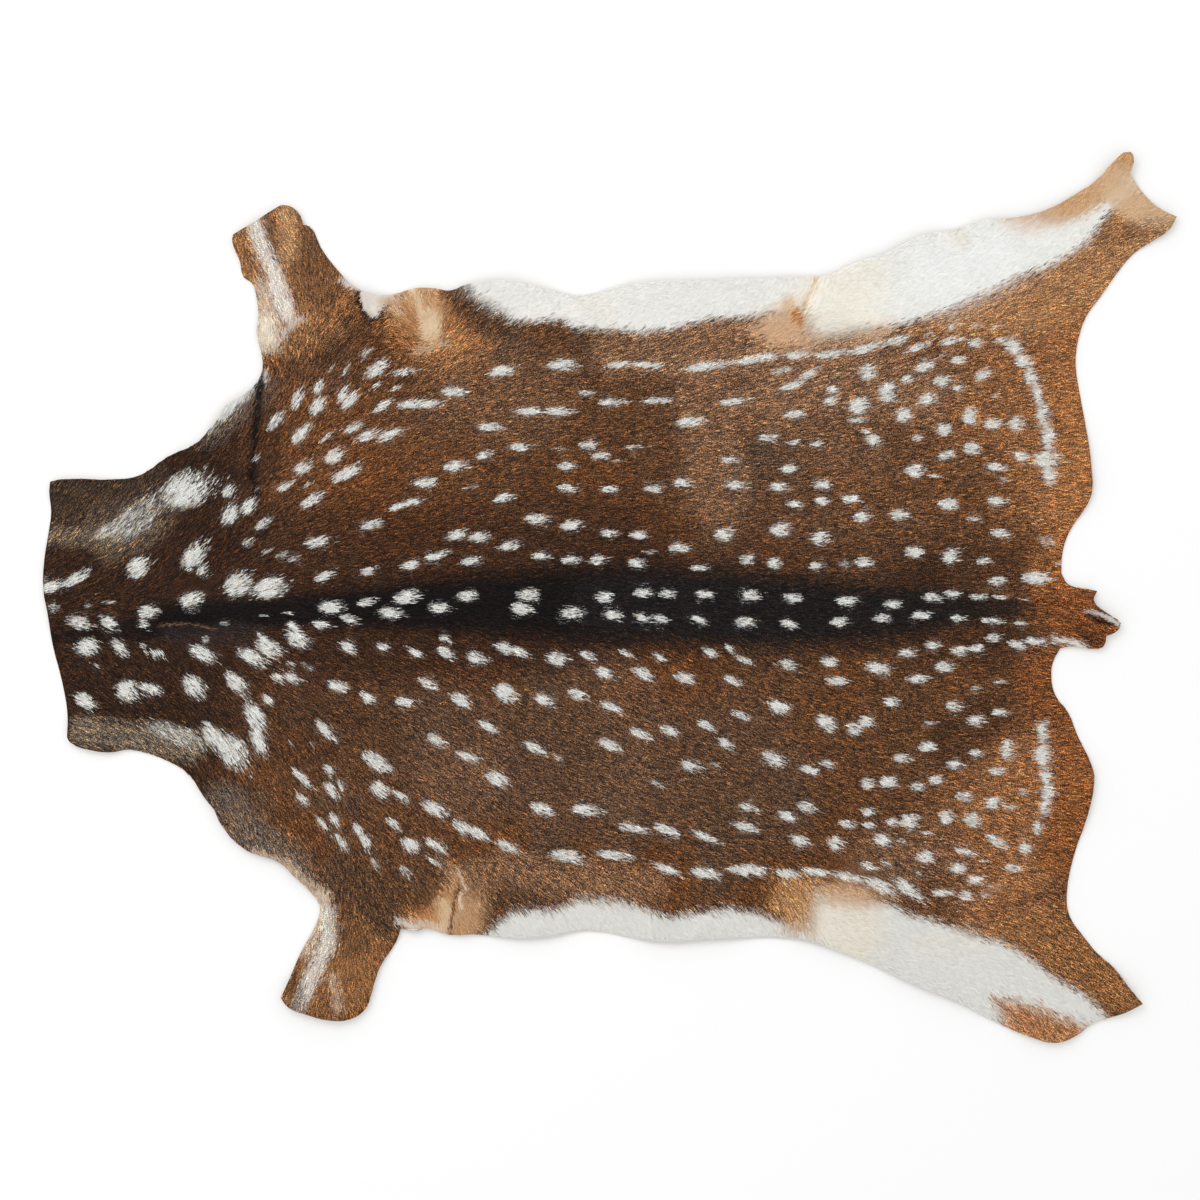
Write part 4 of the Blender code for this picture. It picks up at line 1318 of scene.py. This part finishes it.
def make_locks(name, chosen):
    """One joined piece of coat from the chosen locks."""
    root, way, length = roots[chosen], directions[chosen], lengths[chosen]
    count = len(root)
    white = whiteness[chosen]
    side = np.stack([-way[:, 1], way[:, 0]], axis=1)
    width = mix(LOCK_WIDTH, FINE_WIDTH, white) * draws.uniform(*WIDTH_SPREAD, size=count)
    lift = mix(LOCK_LIFT, WHITE_LIFT, white) * draws.uniform(*LIFT_SPREAD, size=count)
    lift *= np.clip(length / LOCK_LENGTH, SHORT_LIFT, 1.0)
    tip = root + way * length[:, None]
    back = root + way * (BACK_SHARE * length)[:, None]
    base_left = root + side * (width / 2)[:, None]
    base_right = root - side * (width / 2)[:, None]
    sunk = skin_height(root) - ROOT_SINK
    tip_at = skin_height(tip) + TIP_CLEARANCE + lift
    over_line = sunk + BACK_SHARE * (tip_at - sunk)
    back_at = np.maximum(skin_height(back) + BACK_LIFT * lift, over_line)
    back_at += mix(RIDGE, WHITE_RIDGE, white)
    low, high = root_colours[chosen], tip_colours[chosen]
    corners = np.empty((count, LOCK_CORNERS, 3))
    colours = np.empty((count, LOCK_CORNERS, 3))
    for index, (xy, height, colour) in enumerate((
        (base_left, sunk, low),
        (base_right, sunk, low),
        (back, back_at, (low + high) / 2),
        (tip, tip_at, high),
    )):
        corners[:, index, :2] = xy
        corners[:, index, 2] = height
        colours[:, index] = colour
    first = LOCK_CORNERS * np.arange(count)[:, None, None]
    triangles = (np.array(FOUR_FACES)[None] + first).reshape(-1, 3)
    piece = coat_surface(name)
    write_mesh(piece.data, corners.reshape(-1, 3), triangles)
    write_colours(piece.data, colours.reshape(-1, 3))
    write_plainness(piece.data, np.repeat(plainness[chosen], LOCK_CORNERS))
    write_flat_map(piece.data)
    spread = mix(NORMAL_SPREAD, WHITE_NORMAL_SPREAD, plainness[chosen])
    face_like_coat(piece.data, root, spread)
    print(name, "locks", count, "triangles", len(triangles))
    return piece


brown = whiteness < MOSTLY_WHITE
from_neck = np.argsort(roots[:, 0])
brown_shares = np.array_split(from_neck[brown[from_neck]], len(COAT_PARTS))
coat = {name: make_locks(name, chosen) for name, chosen in zip(COAT_PARTS, brown_shares)}
coat["white_hair"] = make_locks("white_hair", from_neck[~brown[from_neck]])

# %% [markdown]
# The skin under the hair takes the same paint, darker where the hair is brown,
# because little light gets down to it. Its underside stays bare suede.

# %% Paint the skin
SKIN_SHADE = 0.55


def paint_skin(piece):
    """Colour the sheet by the coat over it."""
    mesh = piece.data
    corners = np.empty(len(mesh.vertices) * 3, dtype=np.float32)
    mesh.vertices.foreach_get("co", corners)
    colours, _ = paint(reading(corners.reshape(-1, 3)[:, :2].astype(float)), roughness=0.0)
    pale = smooth_step(*PLAIN_RANGE, colours.mean(axis=1))
    colours = colours * mix(SKIN_SHADE, WHITE_ROOT_SHADE, pale)[:, None]
    write_colours(mesh, colours)
    write_plainness(mesh, pale)
    write_flat_map(mesh)
    print("mean colour of the skin:", colours.mean(axis=0).round(3))


paint_skin(skin)

# %% [markdown]
# Finishes are node materials. A small class wraps a socket, so that shader maths
# reads as plain arithmetic. One method of `Finish` makes any other node, and two
# helpers blend and scale colours with it.

# %% Finish helpers
def find_socket(sockets, label):
    """A socket by its place, its identifier, or its name with _ for each space."""
    if isinstance(label, int):
        return sockets[label]
    name = label.replace("_", " ")
    return next(each for each in sockets if label == each.identifier or name == each.name)


class Wire:
    """An output of a shader node, with the arithmetic that the finishes use."""

    def __init__(self, tree, socket):
        self.tree = tree
        self.socket = socket

    def math(self, operation, first, second):
        node = self.tree.nodes.new("ShaderNodeMath")
        node.operation = operation
        for slot, value in zip(node.inputs, (first, second)):
            if isinstance(value, Wire):
                self.tree.links.new(value.socket, slot)
            else:
                slot.default_value = value
        return Wire(self.tree, node.outputs[0])

    def __mul__(self, other):
        return self.math("MULTIPLY", self, other)

    __rmul__ = __mul__

    def __add__(self, other):
        return self.math("ADD", self, other)

    __radd__ = __add__

    def __rsub__(self, other):
        return self.math("SUBTRACT", other, self)


class Finish:
    """A material with one Principled shader, built node by node."""

    def __init__(self, name, roughness, **values):
        self.material = bpy.data.materials.new(name)
        self.material.use_nodes = True
        self.tree = self.material.node_tree
        self.shader = self.tree.nodes["Principled BSDF"]
        self.shader.inputs["Roughness"].default_value = roughness
        for label, value in values.items():
            find_socket(self.shader.inputs, label).default_value = value

    def node(self, kind, output, settings=None, **values):
        """A node of a kind, its settings first, then its sockets."""
        node = self.tree.nodes.new(kind)
        for setting, value in (settings or {}).items():
            setattr(node, setting, value)
        for label, value in values.items():
            target = find_socket(node.inputs, label)
            if isinstance(value, Wire):
                self.tree.links.new(value.socket, target)
            else:
                target.default_value = value
        return Wire(self.tree, find_socket(node.outputs, output))

    def feed(self, socket, wire):
        """Link a wire to a socket of the shader."""
        self.tree.links.new(wire.socket, self.shader.inputs[socket])


def tint(finish, colour, factor):
    """A colour made lighter or darker by a factor."""
    settings = {"operation": "SCALE"}
    return finish.node("ShaderNodeVectorMath", 0, settings, Vector=colour, Scale=factor)


def blend(finish, share, first, second):
    """A colour between two, by a share from 0 to 1."""
    settings = {"data_type": "RGBA"}
    sockets = {"Factor_Float": share, "A_Color": first, "B_Color": second}
    return finish.node("ShaderNodeMix", "Result_Color", settings, **sockets)


print("finish helpers:", tint.__name__, "and", blend.__name__)

# %% [markdown]
# The hair is close to matte, with a faint sheen, and white hair a little duller. Its
# colour comes from the locks. A fine noise on top varies each lock along its length,
# as banding does on real hair. The underside is plain suede.

# %% The finishes
GRAIN_SCALE = 1050.0
GRAIN_DETAIL = 2.0
GRAIN_RANGE = (0.43, 0.57)
GRAIN_DARK = 0.1
GRAIN_LIGHT = 2.0
SUEDE_DARK = (0.52, 0.43, 0.31, 1.0)
SUEDE_PALE = (0.66, 0.58, 0.46, 1.0)
SUEDE_RANGE = (0.3, 0.7)
BLOTCH_SCALE = 14.0
BLOTCH_DETAIL = 4.0
NAP_SCALE = 1400.0
NAP_DETAIL = 2.0
NAP_DARK = 0.85
NAP_GAIN = 0.3


def noise_at(finish, where, scale, detail):
    """A noise in the object's own coordinates."""
    return finish.node("ShaderNodeTexNoise", 0, Vector=where, Scale=scale, Detail=detail)


def stretch(finish, value, limits):
    """A value spread from 0 to 1 between two limits."""
    low, high = limits
    return finish.node("ShaderNodeMapRange", 0, Value=value, From_Min=low, From_Max=high)


def speckled_colour(finish):
    """The stored colour, made darker and lighter in grains where the hair is speckled."""
    colour = finish.node("ShaderNodeAttribute", "Color", {"attribute_name": "coat_colour"})
    plain = finish.node("ShaderNodeAttribute", "Fac", {"attribute_name": "plainness"})
    where = finish.node("ShaderNodeTexCoord", "Object")
    noise = noise_at(finish, where, GRAIN_SCALE, GRAIN_DETAIL)
    factor = stretch(finish, noise, GRAIN_RANGE) * (GRAIN_LIGHT - GRAIN_DARK) + GRAIN_DARK
    return tint(finish, colour, plain + (1.0 - plain) * factor), noise


def hair_finish(name, roughness):
    """Hair, coloured lock by lock."""
    finish = Finish(name, roughness, Specular_IOR_Level=0.12)
    colour, _ = speckled_colour(finish)
    finish.feed("Base Color", colour)
    return finish.material


def undercoat_finish(name):
    """The hair side of the skin, streaked as if by the roots."""
    finish = Finish(name, 0.8, Specular_IOR_Level=0.1)
    colour, noise = speckled_colour(finish)
    finish.feed("Base Color", colour)
    bump = finish.node("ShaderNodeBump", 0, Height=noise, Strength=0.5, Distance=0.0008)
    finish.feed("Normal", bump)
    return finish.material


def suede_finish(name):
    """The tanned underside: pale, matte, a little blotched, with a fine nap."""
    finish = Finish(name, 0.9, Specular_IOR_Level=0.15)
    where = finish.node("ShaderNodeTexCoord", "Object")
    blotch = noise_at(finish, where, BLOTCH_SCALE, BLOTCH_DETAIL)
    nap = noise_at(finish, where, NAP_SCALE, NAP_DETAIL)
    colour = blend(finish, stretch(finish, blotch, SUEDE_RANGE), SUEDE_DARK, SUEDE_PALE)
    finish.feed("Base Color", tint(finish, colour, nap * NAP_GAIN + NAP_DARK))
    bump = finish.node("ShaderNodeBump", 0, Height=nap, Strength=0.4, Distance=0.0005)
    finish.feed("Normal", bump)
    return finish.material


dark_coat = hair_finish("dark_coat", 0.55)
pale_coat = hair_finish("pale_coat", 0.7)
skin.data.materials.append(undercoat_finish("undercoat"))
skin.data.materials.append(suede_finish("suede"))
for name, piece in coat.items():
    piece.data.materials.append(pale_coat if name == "white_hair" else dark_coat)
print("finishes:", [material.name for material in bpy.data.materials if material.users])

# %% [markdown]
# Every piece rides on the one body. The skin stands for the measured solid, which is hidden.

# %% Tie the pieces to the model
skin.data.shade_smooth()
for piece in (skin, *coat.values()):
    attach(piece, "root")
    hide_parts("hide")

# %% [markdown]
# The hide was photographed from straight above, on white. A plain floor, a bright
# even sky and one wide lamp to the upper left give soft light, with just enough
# direction to show the lie of the hair.

# %% Floor and light
FLOOR_HALF = 4.0
FLOOR_DROP = 0.0003
FLOOR_COLOUR = (0.9, 0.9, 0.9, 1.0)
LAMP_POWER = 22.0
LAMP_SIZE = 2.0
LAMP_PLACE = (-1.1, 1.3, 2.4)
SKY_COLOUR = (1.0, 1.0, 1.0, 1.0)
SKY_STRENGTH = 0.96


def make_floor():
    """A wide pale floor just under the hide."""
    floor = coat_surface("floor")
    bm = bmesh.new()
    bmesh.ops.create_grid(bm, x_segments=1, y_segments=1, size=FLOOR_HALF)
    bmesh.ops.translate(bm, verts=bm.verts, vec=(0.0, 0.0, -FLOOR_DROP))
    bm.to_mesh(floor.data)
    bm.free()
    finish = Finish("plain_floor", 0.9, Base_Color=FLOOR_COLOUR, Specular_IOR_Level=0.0)
    floor.data.materials.append(finish.material)


def make_lamp(name, energy, size, location):
    """A square soft lamp that faces the middle of the hide."""
    lamp = bpy.data.lights.new(name, "AREA")
    lamp.energy = energy
    lamp.size = size
    holder = bpy.data.objects.new(name, lamp)
    holder.location = location
    direction = -np.array(location)
    holder.rotation_euler = (
        math.atan2(math.hypot(direction[0], direction[1]), -direction[2]),
        0.0,
        math.atan2(direction[1], direction[0]) - math.pi / 2,
    )
    bpy.context.scene.collection.objects.link(holder)


make_floor()
make_lamp("wide_lamp", LAMP_POWER, LAMP_SIZE, LAMP_PLACE)
world = bpy.data.worlds.new("even_sky")
world.use_nodes = True
background = world.node_tree.nodes["Background"]
background.inputs["Color"].default_value = SKY_COLOUR
background.inputs["Strength"].default_value = SKY_STRENGTH
bpy.context.scene.world = world
bpy.context.scene.view_settings.view_transform = "Standard"
print("lamp at", LAMP_PLACE)

# %% [markdown]
# The camera hangs straight over the middle of the frame, at the height where the
# frame is as wide as the chart's 1200 readings.

# %% The camera
FRAME_READINGS = 1200.0
LENS = 100.0
SENSOR = 36.0

camera_data = bpy.data.cameras.new("camera")
camera_data.lens = LENS
camera_data.sensor_width = SENSOR
camera = bpy.data.objects.new("camera", camera_data)
middle = place([(FRAME_READINGS / 2, FRAME_READINGS / 2)])[0]
camera.location = (middle[0], middle[1], LENS / SENSOR * FRAME_READINGS * STEP)
bpy.context.scene.collection.objects.link(camera)
bpy.context.scene.camera = camera
print("camera height:", round(camera.location.z, 3), "m")
